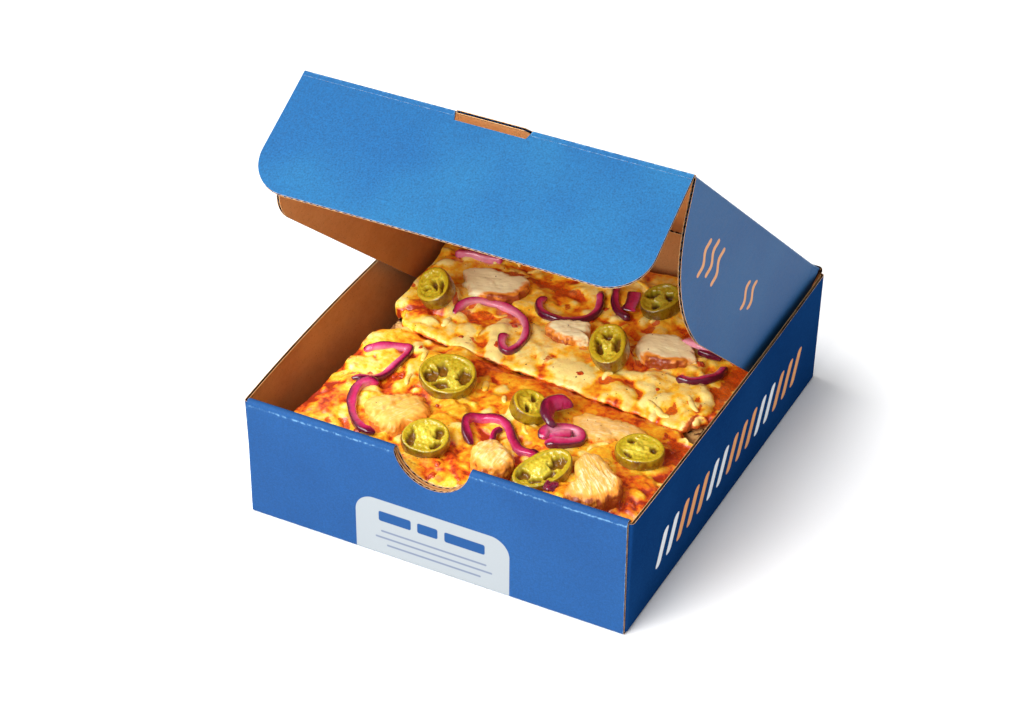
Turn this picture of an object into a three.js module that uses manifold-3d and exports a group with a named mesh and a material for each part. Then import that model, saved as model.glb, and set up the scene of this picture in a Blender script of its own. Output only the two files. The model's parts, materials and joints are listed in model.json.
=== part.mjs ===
// Two rectangular slices of chicken, onion and chilli pizza in an open folding carton.
// The carton is a tray with a rolled-over front wall, a hinged lid with two side flaps and a
// tuck flap. A divider card inside holds the slices up. Units are millimetres, +Z is up,
// -Y is the front, and the origin is the middle of the carton's base.
import * as THREE from 'three';
import { mergeVertices } from 'three/addons/utils/BufferGeometryUtils.js';
import Module from 'manifold-3d';

// Carton, outside sizes
const WIDTH = 200;
const DEPTH = 230;
const FRONT_HEIGHT = 66;
const SIDE_HEIGHT = 64.5;
const BOARD = 1.5;
const GAP = 0.3;
const WALL_LEAN = 1.3;
const FRONT_LAYERS = 3;
const NOTCH_HALF_WIDTH = 20;
const NOTCH_DEPTH = 17.5;

// Lid, opened by LID_ANGLE degrees from shut, and its front flap, bent by FLAP_BEND from flat
const LID_ANGLE = 41.2;
const LID_LENGTH = 223.5;
const LID_HALF_WIDTH = 97.4;
const FLAP_BEND = 69.7;
const FLAP_LENGTH = 63;
const FLAP_HALF_WIDTH = 97.1;
const FLAP_CORNER = 20;
const FOLD_MITRE = 1.7;
const SIDE_FLAP_DEPTH = 64.5;
const SIDE_FLAP_START = 2;
const SIDE_FLAP_END = 221;
const SIDE_FLAP_BACK_CORNER = 10;
const TAB_HALF_WIDTH = 18.5;
const TAB_REACH = 4.4;
const TAB_SLANT = 1.5;
const TAB_CLEARANCE = 0.8;

// Front corner of each side flap, as distances from the hinge and below the lid: where its
// curve leaves the front edge, the point it bends towards, and where it meets the bottom edge
const SIDE_FLAP_CORNERS = {
  left: [[215, 48], [211, SIDE_FLAP_DEPTH], [192, SIDE_FLAP_DEPTH]],
  right: [[215, 20], [201, 58], [150, SIDE_FLAP_DEPTH]],
};

// Divider card under the pizza
const DIVIDER_TOP = 30;
const DIVIDER_HALF_WIDTH = 94.6;
const DIVIDER_FRONT = -105.2;
const DIVIDER_BACK = 112.8;

// Slices: dough, then a layer of cheese and sauce. Corners run front left, front right,
// back right, back left. The rear slice is the thicker one and stands above the front one.
const SLICES = {
  front: {
    corners: [[-91, -105], [92, -105], [92, -16.5], [-90, 0]],
    doughTop: 39.5,
    cheeseTop: 45.5,
    phase: 0.4,
  },
  rear: {
    corners: [[-89, 2.5], [92, -14], [92, 98], [-91, 98]],
    doughTop: 41.5,
    cheeseTop: 47.5,
    phase: 2.1,
  },
};
const RELIEF = 0.5;
const RIM_SAG = 2.2;
const SLICE_CORNER = 2.1;
const DOUGH_INSET = 0.8;
const CHEESE_INSET = 1.2;
const SLICE_CELLS = [12, 8, 1];

const BLUE = 0x3474b8;
const KRAFT = 0xb8824f;
const DOUGH = 0xd9a860;
const CHEESE = 0xe9b04f;
const CHILLI = 0x9c9a1e;
const ONION = 0x9c1f5f;
const CHICKEN = 0xedc888;

const manifold = await Module();
manifold.setup();

const part = new THREE.Group();
const radians = THREE.MathUtils.degToRad;

function finish(color, roughness) {
  return new THREE.MeshStandardMaterial({ color, roughness, metalness: 0 });
}

function addNode(group, name, geometry, material) {
  const mesh = new THREE.Mesh(geometry, material);
  mesh.name = name;
  group.add(mesh);
  return mesh;
}

// Joins and cuts

function weld(geometry) {
  const bare = geometry.clone();
  bare.deleteAttribute('normal');
  bare.deleteAttribute('uv');
  return mergeVertices(bare, 1e-4);
}

function solid(geometry) {
  const welded = weld(geometry);
  const mesh = new manifold.Mesh({
    numProp: 3,
    vertProperties: new Float32Array(welded.attributes.position.array),
    triVerts: new Uint32Array(welded.index.array),
  });
  return new manifold.Manifold(mesh);
}

function surface(body) {
  const mesh = body.getMesh();
  const geometry = new THREE.BufferGeometry();
  geometry.setAttribute('position', new THREE.BufferAttribute(new Float32Array(mesh.vertProperties), 3));
  geometry.setIndex(new THREE.BufferAttribute(new Uint32Array(mesh.triVerts), 1));
  geometry.computeVertexNormals();
  return geometry;
}

// Plates and prisms

function outline(points) {
  return new THREE.Shape(points.map(([a, b]) => new THREE.Vector2(a, b)));
}

function extrude(shape, length, curveSegments = 10) {
  return new THREE.ExtrudeGeometry(shape, { depth: length, bevelEnabled: false, curveSegments });
}

// A profile drawn in (y, z), running from x = start for a length along +X
function alongX(shape, start, length, curveSegments) {
  const basis = new THREE.Matrix4().makeBasis(
    new THREE.Vector3(0, 1, 0),
    new THREE.Vector3(0, 0, 1),
    new THREE.Vector3(1, 0, 0),
  );
  return extrude(shape, length, curveSegments).applyMatrix4(basis).translate(start, 0, 0);
}

// A profile drawn in (x, z), running from y = start for a length along +Y
function alongY(shape, start, length, curveSegments) {
  const basis = new THREE.Matrix4().makeBasis(
    new THREE.Vector3(1, 0, 0),
    new THREE.Vector3(0, 0, 1),
    new THREE.Vector3(0, -1, 0),
  );
  return extrude(shape, length, curveSegments).applyMatrix4(basis).translate(0, start + length, 0);
}

function box(low, high) {
  const size = high.map((value, axis) => value - low[axis]);
  const middle = high.map((value, axis) => (value + low[axis]) / 2);
  return new THREE.BoxGeometry(...size).translate(...middle);
}

// Tray

function sideWall(side) {
  const foot = WIDTH / 2;
  const top = foot + WALL_LEAN;
  const points = [[foot - BOARD, 0], [foot, 0], [top, SIDE_HEIGHT], [top - BOARD, SIDE_HEIGHT]];
  const placed = points.map(([x, z]) => [side * x, z]);
  const start = -DEPTH / 2 + BOARD;
  return alongY(outline(side > 0 ? placed : placed.reverse()), start, DEPTH - 2 * BOARD);
}

// The front wall is the outer panel, the side walls' glue flaps and the panel rolled over them
function frontWall() {
  const thickness = FRONT_LAYERS * BOARD;
  const radius = thickness / 2;
  const front = -DEPTH / 2;
  const shape = new THREE.Shape();
  shape.moveTo(front, 0);
  shape.lineTo(front + thickness, 0);
  shape.lineTo(front + thickness, FRONT_HEIGHT - radius);
  shape.absarc(front + radius, FRONT_HEIGHT - radius, radius, 0, Math.PI, false);
  shape.closePath();
  return alongX(shape, -WIDTH / 2, WIDTH, 4);
}

function backWall() {
  const back = DEPTH / 2;
  const points = [
    [back - BOARD, 0],
    [back, 0],
    [back, FRONT_HEIGHT - GAP],
    [back - BOARD, FRONT_HEIGHT - GAP - FOLD_MITRE],
  ];
  return alongX(outline(points), -WIDTH / 2 + GAP, WIDTH - 2 * GAP);
}

function notch() {
  const radius = (NOTCH_HALF_WIDTH ** 2 + NOTCH_DEPTH ** 2) / (2 * NOTCH_DEPTH);
  const length = 4 * FRONT_LAYERS * BOARD;
  const height = FRONT_HEIGHT - NOTCH_DEPTH + radius;
  return new THREE.CylinderGeometry(radius, radius, length, 40).translate(0, -DEPTH / 2, height);
}

function tray() {
  const floor = box([-WIDTH / 2, -DEPTH / 2, 0], [WIDTH / 2, DEPTH / 2, BOARD]);
  return [sideWall(-1), sideWall(1), frontWall(), backWall()]
    .reduce((body, wall) => body.add(solid(wall)), solid(floor))
    .subtract(solid(notch()));
}

// Divider card: a deck folded down at both sides onto the floor

function divider() {
  const half = DIVIDER_HALF_WIDTH;
  const foot = BOARD + GAP;
  const under = DIVIDER_TOP - BOARD;
  const points = [
    [-half, foot],
    [-half + BOARD, foot],
    [-half + BOARD, under],
    [half - BOARD, under],
    [half - BOARD, foot],
    [half, foot],
    [half, DIVIDER_TOP - BOARD / 2],
    [half - BOARD / 2, DIVIDER_TOP],
    [-half + BOARD / 2, DIVIDER_TOP],
    [-half, DIVIDER_TOP - BOARD / 2],
  ];
  return alongY(outline(points), DIVIDER_FRONT, DIVIDER_BACK - DIVIDER_FRONT);
}

// Lid, drawn shut: its outer face is z = 0 and it runs from the back hinge at y = 0 to -Y

function lidPanel() {
  const points = [
    [-GAP, 0],
    [-LID_LENGTH + GAP, 0],
    [-LID_LENGTH + GAP + FOLD_MITRE, -BOARD],
    [-GAP - FOLD_MITRE, -BOARD],
  ];
  return alongX(outline(points), -LID_HALF_WIDTH, 2 * LID_HALF_WIDTH);
}

function sideFlap(side) {
  const bottom = -SIDE_FLAP_DEPTH;
  const back = -SIDE_FLAP_START;
  const [top, bend, foot] = SIDE_FLAP_CORNERS[side > 0 ? 'right' : 'left'];
  const shape = new THREE.Shape();
  shape.moveTo(back, -BOARD / 2);
  shape.lineTo(-SIDE_FLAP_END, -BOARD / 2);
  shape.lineTo(-top[0], -top[1]);
  shape.quadraticCurveTo(-bend[0], -bend[1], -foot[0], -foot[1]);
  shape.lineTo(back - SIDE_FLAP_BACK_CORNER, bottom);
  shape.quadraticCurveTo(back, bottom, back, bottom + SIDE_FLAP_BACK_CORNER);
  shape.closePath();
  const inner = LID_HALF_WIDTH - BOARD;
  return alongX(shape, side > 0 ? inner : -LID_HALF_WIDTH, BOARD);
}

function pullTab() {
  const tip = -LID_LENGTH - TAB_REACH;
  const shape = outline([
    [-TAB_HALF_WIDTH, -LID_LENGTH + 2 * BOARD],
    [-TAB_HALF_WIDTH, -LID_LENGTH],
    [-TAB_HALF_WIDTH + TAB_SLANT, tip],
    [TAB_HALF_WIDTH - TAB_SLANT, tip],
    [TAB_HALF_WIDTH, -LID_LENGTH],
    [TAB_HALF_WIDTH, -LID_LENGTH + 2 * BOARD],
  ]);
  return extrude(shape, BOARD).translate(0, 0, -BOARD);
}

function lid() {
  return [sideFlap(-1), sideFlap(1), pullTab()]
    .reduce((body, piece) => body.add(solid(piece)), solid(lidPanel()));
}

// Front flap, drawn flat: its outer face is z = 0 and it runs from its fold at y = 0 to -Y

function frontFlap() {
  const half = FLAP_HALF_WIDTH;
  const tip = -FLAP_LENGTH;
  const shape = new THREE.Shape();
  const slotEnd = -TAB_REACH - GAP;
  const slotHalf = TAB_HALF_WIDTH + TAB_CLEARANCE;
  shape.moveTo(half, 0);
  shape.lineTo(slotHalf, 0);
  shape.lineTo(slotHalf - TAB_SLANT, slotEnd);
  shape.lineTo(-slotHalf + TAB_SLANT, slotEnd);
  shape.lineTo(-slotHalf, 0);
  shape.lineTo(-half, 0);
  shape.lineTo(-half, tip + FLAP_CORNER);
  shape.absarc(-half + FLAP_CORNER, tip + FLAP_CORNER, FLAP_CORNER, Math.PI, 1.5 * Math.PI, false);
  shape.absarc(half - FLAP_CORNER, tip + FLAP_CORNER, FLAP_CORNER, 1.5 * Math.PI, 2 * Math.PI, false);
  shape.closePath();
  const cut = solid(extrude(shape, 2 * BOARD, 8).translate(0, 0, -1.5 * BOARD));
  const plate = outline([[-GAP, 0], [tip, 0], [tip, -BOARD], [-GAP - FOLD_MITRE, -BOARD]]);
  return solid(alongX(plate, -half, 2 * half)).intersect(cut);
}

// Pizza slices: a box of cells shaped into a slab with round corners and an uneven edge

// Grows from 0 inside the slab to 1, or -1, right at its edge
function nearEdge(value) {
  return Math.sign(value) * Math.abs(value) ** 8;
}

function between(corners, across, along) {
  const [frontLeft, frontRight, backRight, backLeft] = corners.map((corner) => new THREE.Vector2(...corner));
  return frontLeft.lerp(frontRight, across).lerp(backLeft.lerp(backRight, across), along);
}

function sliceSlab({ corners, low, high, inset, relief, sag, phase }) {
  const geometry = weld(new THREE.BoxGeometry(2, 2, 1, ...SLICE_CELLS));
  const position = geometry.attributes.position;
  const point = new THREE.Vector3();
  for (let i = 0; i < position.count; i += 1) {
    point.fromBufferAttribute(position, i);
    const level = point.z + 0.5;
    const across = (point.x + 1) / 2;
    const along = (point.y + 1) / 2;
    const sideX = nearEdge(point.x);
    const sideY = nearEdge(point.y);
    const rim = Math.max(Math.abs(sideX), Math.abs(sideY));
    const wave = Math.sin(7 * across + phase) + Math.sin(9 * along + 2 * phase);
    const pull = SLICE_CORNER * Math.abs(sideX * sideY) + inset * level + 0.5 + 0.5 * wave;
    const place = between(corners, across, along);
    const x = place.x - sideX * pull;
    const y = place.y - sideY * pull;
    const bump = Math.sin(x / 11 + phase) * Math.sin(y / 9 - phase);
    const lift = relief * bump * (1 - rim) - sag * rim;
    position.setXYZ(i, x, y, THREE.MathUtils.lerp(low, high, level) + lift * level);
  }
  geometry.computeVertexNormals();
  return geometry;
}

// Toppings stand clear of their slice's highest point
function toppingFloor(slice) {
  return SLICES[slice].cheeseTop + RELIEF + GAP;
}

// Pickled chilli rings: a wall round two seed pockets with the pale core left between them

const RING_WALL = 2.8;
const RING_BEVEL = 0.9;
const RINGS = [
  { slice: 'rear', at: [-71, 21], radius: [9.5, 9], height: 7, tilt: [-14, -16], turn: 20 },
  { slice: 'rear', at: [28, 14], radius: [10.5, 10.5], height: 7, tilt: [22, -8], turn: 75 },
  { slice: 'front', at: [-33, -39], radius: [14.3, 12.5], height: 6, tilt: [3, 2], turn: 30 },
  { slice: 'front', at: [-19, -87], radius: [10.8, 10.5], height: 6, tilt: [14, 0], turn: 100 },
  { slice: 'front', at: [11, -42.5], radius: [9.5, 8.5], height: 6, tilt: [8, 20], turn: 60 },
  { slice: 'front', at: [39, -83.5], radius: [16, 8.8], height: 6, tilt: [8, -8], turn: 66 },
  { slice: 'front', at: [73.5, -47.5], radius: [12, 9.5], height: 6, tilt: [2, -3], turn: -8 },
  { slice: 'rear', at: [33, 66], radius: [10.5, 9.5], height: 7, tilt: [12, 10], turn: 50 },
];

function chilliRing({ radius: [a, b], height }) {
  const shape = new THREE.Shape();
  shape.absellipse(0, 0, a - RING_BEVEL, b - RING_BEVEL, 0, 2 * Math.PI, false, 0);
  for (const side of [-1, 1]) {
    const pocket = new THREE.Path();
    const turn = side > 0 ? 0 : Math.PI;
    const reach = b - 1.5 * RING_WALL;
    pocket.absellipse(side * a * 0.36, 0, a * 0.28, reach, 0, 2 * Math.PI, true, turn);
    shape.holes.push(pocket);
  }
  const geometry = new THREE.ExtrudeGeometry(shape, {
    depth: height - 2 * RING_BEVEL,
    bevelThickness: RING_BEVEL,
    bevelSize: RING_BEVEL,
    bevelSegments: 1,
    curveSegments: 7,
  });
  return geometry.translate(0, 0, RING_BEVEL - height / 2);
}

function placeRing(mesh, { slice, at: [x, y], tilt: [leanX, leanY], turn }) {
  mesh.rotation.set(radians(leanX), radians(leanY), radians(turn), 'ZXY');
  mesh.updateMatrixWorld();
  const low = new THREE.Box3().setFromObject(mesh, true).min.z;
  mesh.position.set(x, y, toppingFloor(slice) - low);
}

// Red onion strips: a small oval section drawn along a curve through hand-placed points

const STRIP_HALF_HEIGHT = 1.9;
const STRIP_HALF_WIDTH = 1.5;
const STRIP_STEPS = 14;
const STRIPS = {
  hook: [[-58, 17, 50.5], [-56, 27, 51], [-48, 33, 52], [-38, 33, 52.5], [-29, 29, 52.5],
    [-20, 22, 52], [-16, 10, 51.5], [-18, 1, 51], [-25, 2, 51], [-28, 10, 51]],
  bow: [[-22, 48, 50.5], [-23, 41, 51], [-18, 35, 51], [-10, 35, 51.5], [0, 40, 51.5],
    [5, 49, 51], [4, 57, 51], [-1, 66, 50.5]],
  sliver: [[7, 70, 50.5], [12, 62, 50.5], [17, 56, 50.5], [21, 53, 50.5]],
  fold: [[-84, -30, 49.5], [-75, -23, 50], [-67, -18, 50], [-65, -28, 50], [-67, -39, 49.5],
    [-70, -49, 49], [-76, -56, 48.5]],
  left_arc: [[-63, -52, 50], [-68, -57, 50.5], [-69, -67, 50], [-66, -77, 49.5], [-59, -86, 49],
    [-51, -90, 48.5], [-43, -91, 48.5]],
  wave: [[-2, -73, 53], [-7, -68, 52.5], [-11, -61, 52], [-7, -56, 52], [0, -56, 51.5],
    [7, -57, 50.5], [13, -62, 49.5], [19, -66, 49], [26, -65, 49]],
  curl: [[29, -27, 52], [26, -32, 53.5], [24, -38, 54.5], [24, -46, 55], [28, -51, 55], [33, -49, 54.5]],
  pink_ring: [[31, -59, 48.5], [32, -52, 48.5], [36, -44, 48.5], [41, -43, 48.5], [45, -47, 48.5],
    [43, -53, 48.5], [37, -57, 48.5]],
  right_arc: [[64, 15, 50.5], [70, 14, 50.5], [77, 18, 50.5], [82, 26, 51], [81, 36, 51]],
  right_strip: [[53, 48, 51], [58, 47, 50.5], [63, 48, 51], [69, 49, 51]],
  back_strip: [[-82, 67, 50.5], [-76, 63, 51], [-69, 64, 50.5], [-58, 67, 50.5]],
};

function onionStrip(points) {
  const path = new THREE.CatmullRomCurve3(points.map((place) => new THREE.Vector3(...place)));
  const section = new THREE.Shape();
  section.absellipse(0, 0, STRIP_HALF_HEIGHT, STRIP_HALF_WIDTH, 0, 2 * Math.PI, false, 0);
  return new THREE.ExtrudeGeometry(section, {
    steps: STRIP_STEPS,
    extrudePath: path,
    curveSegments: 3,
    bevelEnabled: false,
  });
}

// Chicken: torn pieces and slices, as lumps with a flat underside

const CHICKEN_FLOOR = -0.62;
const CHICKEN_PIECES = [
  { slice: 'rear', at: [-47, 46.5], half: [18, 8.5, 4.2], turn: 16, seed: 1 },
  { slice: 'rear', at: [-1, 26.5], half: [11, 6, 4], turn: 15, seed: 2 },
  { slice: 'rear', at: [53, 33], half: [14, 9.5, 4.8], turn: 10, seed: 3 },
  { slice: 'front', at: [-46, -71], half: [17, 10, 5.6], turn: 15, seed: 4 },
  { slice: 'front', at: [15, -85], half: [11, 9.5, 7.2], turn: 5, seed: 5 },
  { slice: 'front', at: [64.5, -78.5], half: [16, 11.5, 7], turn: 97, seed: 6 },
  { slice: 'front', at: [55, -31], half: [17, 6.5, 2.6], turn: 16, seed: 7 },
];

function chickenPiece({ slice, at: [x, y], half: [a, b, c], turn, seed }) {
  const geometry = weld(new THREE.IcosahedronGeometry(1, 2));
  const position = geometry.attributes.position;
  const point = new THREE.Vector3();
  for (let i = 0; i < position.count; i += 1) {
    point.fromBufferAttribute(position, i);
    const waves = Math.sin(4.1 * point.x + seed) * Math.sin(3.7 * point.y + 2 * seed);
    const swell = 1 + 0.13 * waves * Math.cos(2.9 * point.z - seed);
    const height = Math.max(point.z * swell, CHICKEN_FLOOR);
    position.setXYZ(i, point.x * swell * a, point.y * swell * b, height * c);
  }
  geometry.rotateZ(radians(turn));
  geometry.translate(x, y, toppingFloor(slice) - CHICKEN_FLOOR * c);
  geometry.computeVertexNormals();
  return geometry;
}

// Assembly

addNode(part, 'tray', surface(tray()), finish(BLUE, 0.6));
addNode(part, 'divider_card', divider(), finish(KRAFT, 0.85));

const lidGroup = new THREE.Group();
lidGroup.position.set(0, DEPTH / 2, FRONT_HEIGHT);
lidGroup.rotation.x = -radians(LID_ANGLE);
part.add(lidGroup);
addNode(lidGroup, 'lid', surface(lid()), finish(BLUE, 0.6));

const flapGroup = new THREE.Group();
flapGroup.position.set(0, -LID_LENGTH, 0);
flapGroup.rotation.x = radians(FLAP_BEND);
lidGroup.add(flapGroup);
addNode(flapGroup, 'front_flap', surface(frontFlap()), finish(BLUE, 0.6));

for (const [name, { corners, doughTop, cheeseTop, phase }] of Object.entries(SLICES)) {
  const shared = { corners, phase };
  const dough = { low: DIVIDER_TOP + GAP, high: doughTop, inset: DOUGH_INSET, relief: 0, sag: 0 };
  const cheese = { low: doughTop + GAP, high: cheeseTop, inset: CHEESE_INSET, relief: RELIEF, sag: RIM_SAG };
  addNode(part, `dough_${name}`, sliceSlab({ ...shared, ...dough }), finish(DOUGH, 0.8));
  addNode(part, `cheese_${name}`, sliceSlab({ ...shared, ...cheese }), finish(CHEESE, 0.45));
}

RINGS.forEach((ring, index) => {
  const mesh = addNode(part, `chilli_ring_${index + 1}`, chilliRing(ring), finish(CHILLI, 0.3));
  placeRing(mesh, ring);
});

for (const [name, points] of Object.entries(STRIPS)) {
  addNode(part, `onion_${name}`, onionStrip(points), finish(ONION, 0.3));
}

CHICKEN_PIECES.forEach((piece, index) => {
  addNode(part, `chicken_${index + 1}`, chickenPiece(piece), finish(CHICKEN, 0.6));
});

export default part;
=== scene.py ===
"""Two loaded pizza slices in an open corrugated carton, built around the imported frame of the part.

The frame carries the carton's hinge lines and every piece's place. This add-on gives the board its
liners, flutes, creases and print, and the food its melted, torn and sliced surfaces.
Lengths below are millimetres, and a finished mesh is brought to metres in solidified().
"""

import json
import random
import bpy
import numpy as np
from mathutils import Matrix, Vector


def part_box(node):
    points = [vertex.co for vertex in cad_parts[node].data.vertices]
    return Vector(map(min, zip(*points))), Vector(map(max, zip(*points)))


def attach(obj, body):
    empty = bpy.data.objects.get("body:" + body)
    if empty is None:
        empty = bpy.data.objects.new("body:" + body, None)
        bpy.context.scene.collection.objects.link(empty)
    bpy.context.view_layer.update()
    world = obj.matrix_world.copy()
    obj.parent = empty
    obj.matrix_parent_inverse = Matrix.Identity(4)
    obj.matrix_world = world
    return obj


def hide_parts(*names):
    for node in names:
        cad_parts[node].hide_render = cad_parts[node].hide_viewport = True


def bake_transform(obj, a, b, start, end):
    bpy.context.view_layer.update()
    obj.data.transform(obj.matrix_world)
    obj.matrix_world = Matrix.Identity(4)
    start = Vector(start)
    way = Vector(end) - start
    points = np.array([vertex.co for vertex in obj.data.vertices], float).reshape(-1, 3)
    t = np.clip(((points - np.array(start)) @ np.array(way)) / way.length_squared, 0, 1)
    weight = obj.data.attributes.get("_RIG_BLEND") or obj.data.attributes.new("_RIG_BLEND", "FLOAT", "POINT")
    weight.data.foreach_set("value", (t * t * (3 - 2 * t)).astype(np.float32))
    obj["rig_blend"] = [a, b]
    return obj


bl_info = {
    "name": "Pizza in an open carton",
    "version": (1, 0, 0),
    "blender": (4, 5, 0),
    "location": "View3D > Sidebar > Pizza carton",
    "description": "Builds two loaded pizza slices in a corrugated carton around its packed frame",
    "category": "Object",
}

from math import acos, atan2, ceil, copysign, cos, exp, hypot, pi, radians, sin, sqrt, tan
from typing import NamedTuple

import bmesh
import bpy
import numpy as np
from bmesh.types import BMFace, BMVert
from mathutils import Matrix, Vector
from mathutils.bvhtree import BVHTree
from mathutils.noise import noise

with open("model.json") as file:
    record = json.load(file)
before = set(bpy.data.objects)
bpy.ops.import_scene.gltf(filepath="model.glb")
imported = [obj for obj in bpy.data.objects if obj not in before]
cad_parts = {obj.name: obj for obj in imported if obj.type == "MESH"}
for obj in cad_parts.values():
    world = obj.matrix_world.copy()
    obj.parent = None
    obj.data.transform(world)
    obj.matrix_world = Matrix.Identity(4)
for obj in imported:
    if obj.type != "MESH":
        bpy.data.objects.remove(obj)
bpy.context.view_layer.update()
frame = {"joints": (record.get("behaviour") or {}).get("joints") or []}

MM = 0.001
X = Vector((1, 0, 0))
UP = Vector((0, 0, 1))

# Places and directions of the carton, from the frame
TRAY_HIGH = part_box("tray")[1] / MM
WALL_LEAN = 1.3
HALF_WIDTH = TRAY_HIGH.x - WALL_LEAN
HALF_DEPTH = TRAY_HIGH.y
FRONT_TOP = TRAY_HIGH.z
SIDE_TOP = FRONT_TOP - 1.5
JOINTS = {joint["name"]: joint for joint in frame["joints"]}
HINGE = Vector(JOINTS["lid_hinge"]["pos_m"]) / MM
FOLD = Vector(JOINTS["front_flap_fold"]["pos_m"]) / MM
FLAP_BEND = radians(JOINTS["front_flap_fold"]["range_deg"][1])
LID_ALONG = (FOLD - HINGE).normalized()
LID_LENGTH = (FOLD - HINGE).length
FLAP_ALONG = Matrix.Rotation(FLAP_BEND, 3, "X") @ LID_ALONG

# Tray
NOTCH_HALF_WIDTH = 20
NOTCH_DEPTH = 17.5
NOTCH_RADIUS = (NOTCH_HALF_WIDTH**2 + NOTCH_DEPTH**2) / (2 * NOTCH_DEPTH)
NOTCH_CENTRE = FRONT_TOP - NOTCH_DEPTH + NOTCH_RADIUS
WALL_BOW = {-1: 4.4, 1: 1.0}
PANEL_HALF = HALF_WIDTH - 1.0

# Lid and flaps
LID_HALF_WIDTH = 97.4
SIDE_FLAP_DEPTH = 64.5
SIDE_FLAP_START = 2
SIDE_FLAP_END = 221
SIDE_FLAP_BACK_CORNER = 10
SIDE_FLAP_CORNERS = {
    -1: [(215, 48), (211, SIDE_FLAP_DEPTH), (192, SIDE_FLAP_DEPTH)],
    1: [(215, 20), (201, 58), (150, SIDE_FLAP_DEPTH)],
}
TAB_HALF_WIDTH = 18.5
TAB_REACH = 4.4
TAB_SLANT = 1.5
TAB_CLEARANCE = 0.8
FLAP_HALF_WIDTH = 97.1
FLAP_LENGTH = 63
FLAP_CORNER = 20
HINGE_GAP = 0.4
HINGE_MITRE = 1.4

# Width of the worn rim of a cut, spread of the wear round a crease, and how close points are merged
WORN_RIM = 0.3
CREASE_SPREAD = 0.42
MERGED = 0.004

# Finishes that every board shares: inner liner, cut edge, and the painted shade inside the flutes
PAPERS = ("kraft liner", "raw edge", "inside flutes")

# Divider card
CARD_LOW, CARD_HIGH = (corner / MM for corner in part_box("divider_card"))


class Slice(NamedTuple):
    """A pizza slice: its corners from front left round to back left, heights of the dough's bottom, the
    dough's top and the cheese, how pale the cheese is, and the seed of what is drawn at random. The
    paleness is painted light: the rear slice, in the lid's shade, is lightened and the front one darkened."""

    corners: list
    low: float
    dough_top: float
    cheese_top: float
    pale: float
    seed: int


# Each slice's pale shift is painted light: the rear slice, under the lid's shade, is made paler and the front
# slice darker.
SLICES = {
    "front": Slice([(-89, -105), (92, -105), (92, -16.5), (-87.5, 0)], 30.3, 39.5, 45.5, -0.08, 11),
    "rear": Slice([(-89, 2.5), (92, -14), (92, 98), (-91, 98)], 30.3, 41.5, 47.5, 0.07, 23),
}


# Colours and finishes


def srgb(red, green, blue):
    """A linear colour from 0 to 255 screen values."""
    values = [channel / 255 for channel in (red, green, blue)]
    return tuple(v / 12.92 if v <= 0.04045 else ((v + 0.055) / 1.055) ** 2.4 for v in values)


def opaque(colour):
    return (*tuple(colour)[:3], 1.0)


def worked_out(operation, reflected=False):
    """A method that works out a number from a socket and other values."""

    def apply(socket, *others):
        values = (*others, socket) if reflected else (socket, *others)
        return socket.finish.maths(operation, *values)

    return apply


class Socket:
    """A number that a finish works out, so that masks are written as sums and products."""

    def __init__(self, finish, link):
        self.finish, self.link = finish, link

    __add__, __radd__ = worked_out("ADD"), worked_out("ADD", True)
    __sub__, __rsub__ = worked_out("SUBTRACT"), worked_out("SUBTRACT", True)
    __mul__, __rmul__ = worked_out("MULTIPLY"), worked_out("MULTIPLY", True)
    __abs__, sine, root = worked_out("ABSOLUTE"), worked_out("SINE"), worked_out("SQRT")
    at_least, at_most, repeat = worked_out("MAXIMUM"), worked_out("MINIMUM"), worked_out("FLOORED_MODULO")

    def rise(self, low, high):
        """0 below low and 1 above high, or the other way round where high is the lower."""
        fall = high < low
        inputs = {
            "Value": self, "From Min": min(low, high), "From Max": max(low, high),
            "To Min": float(fall), "To Max": float(not fall),
        }
        return self.finish.node("ShaderNodeMapRange", inputs, interpolation_type="SMOOTHSTEP")


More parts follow.
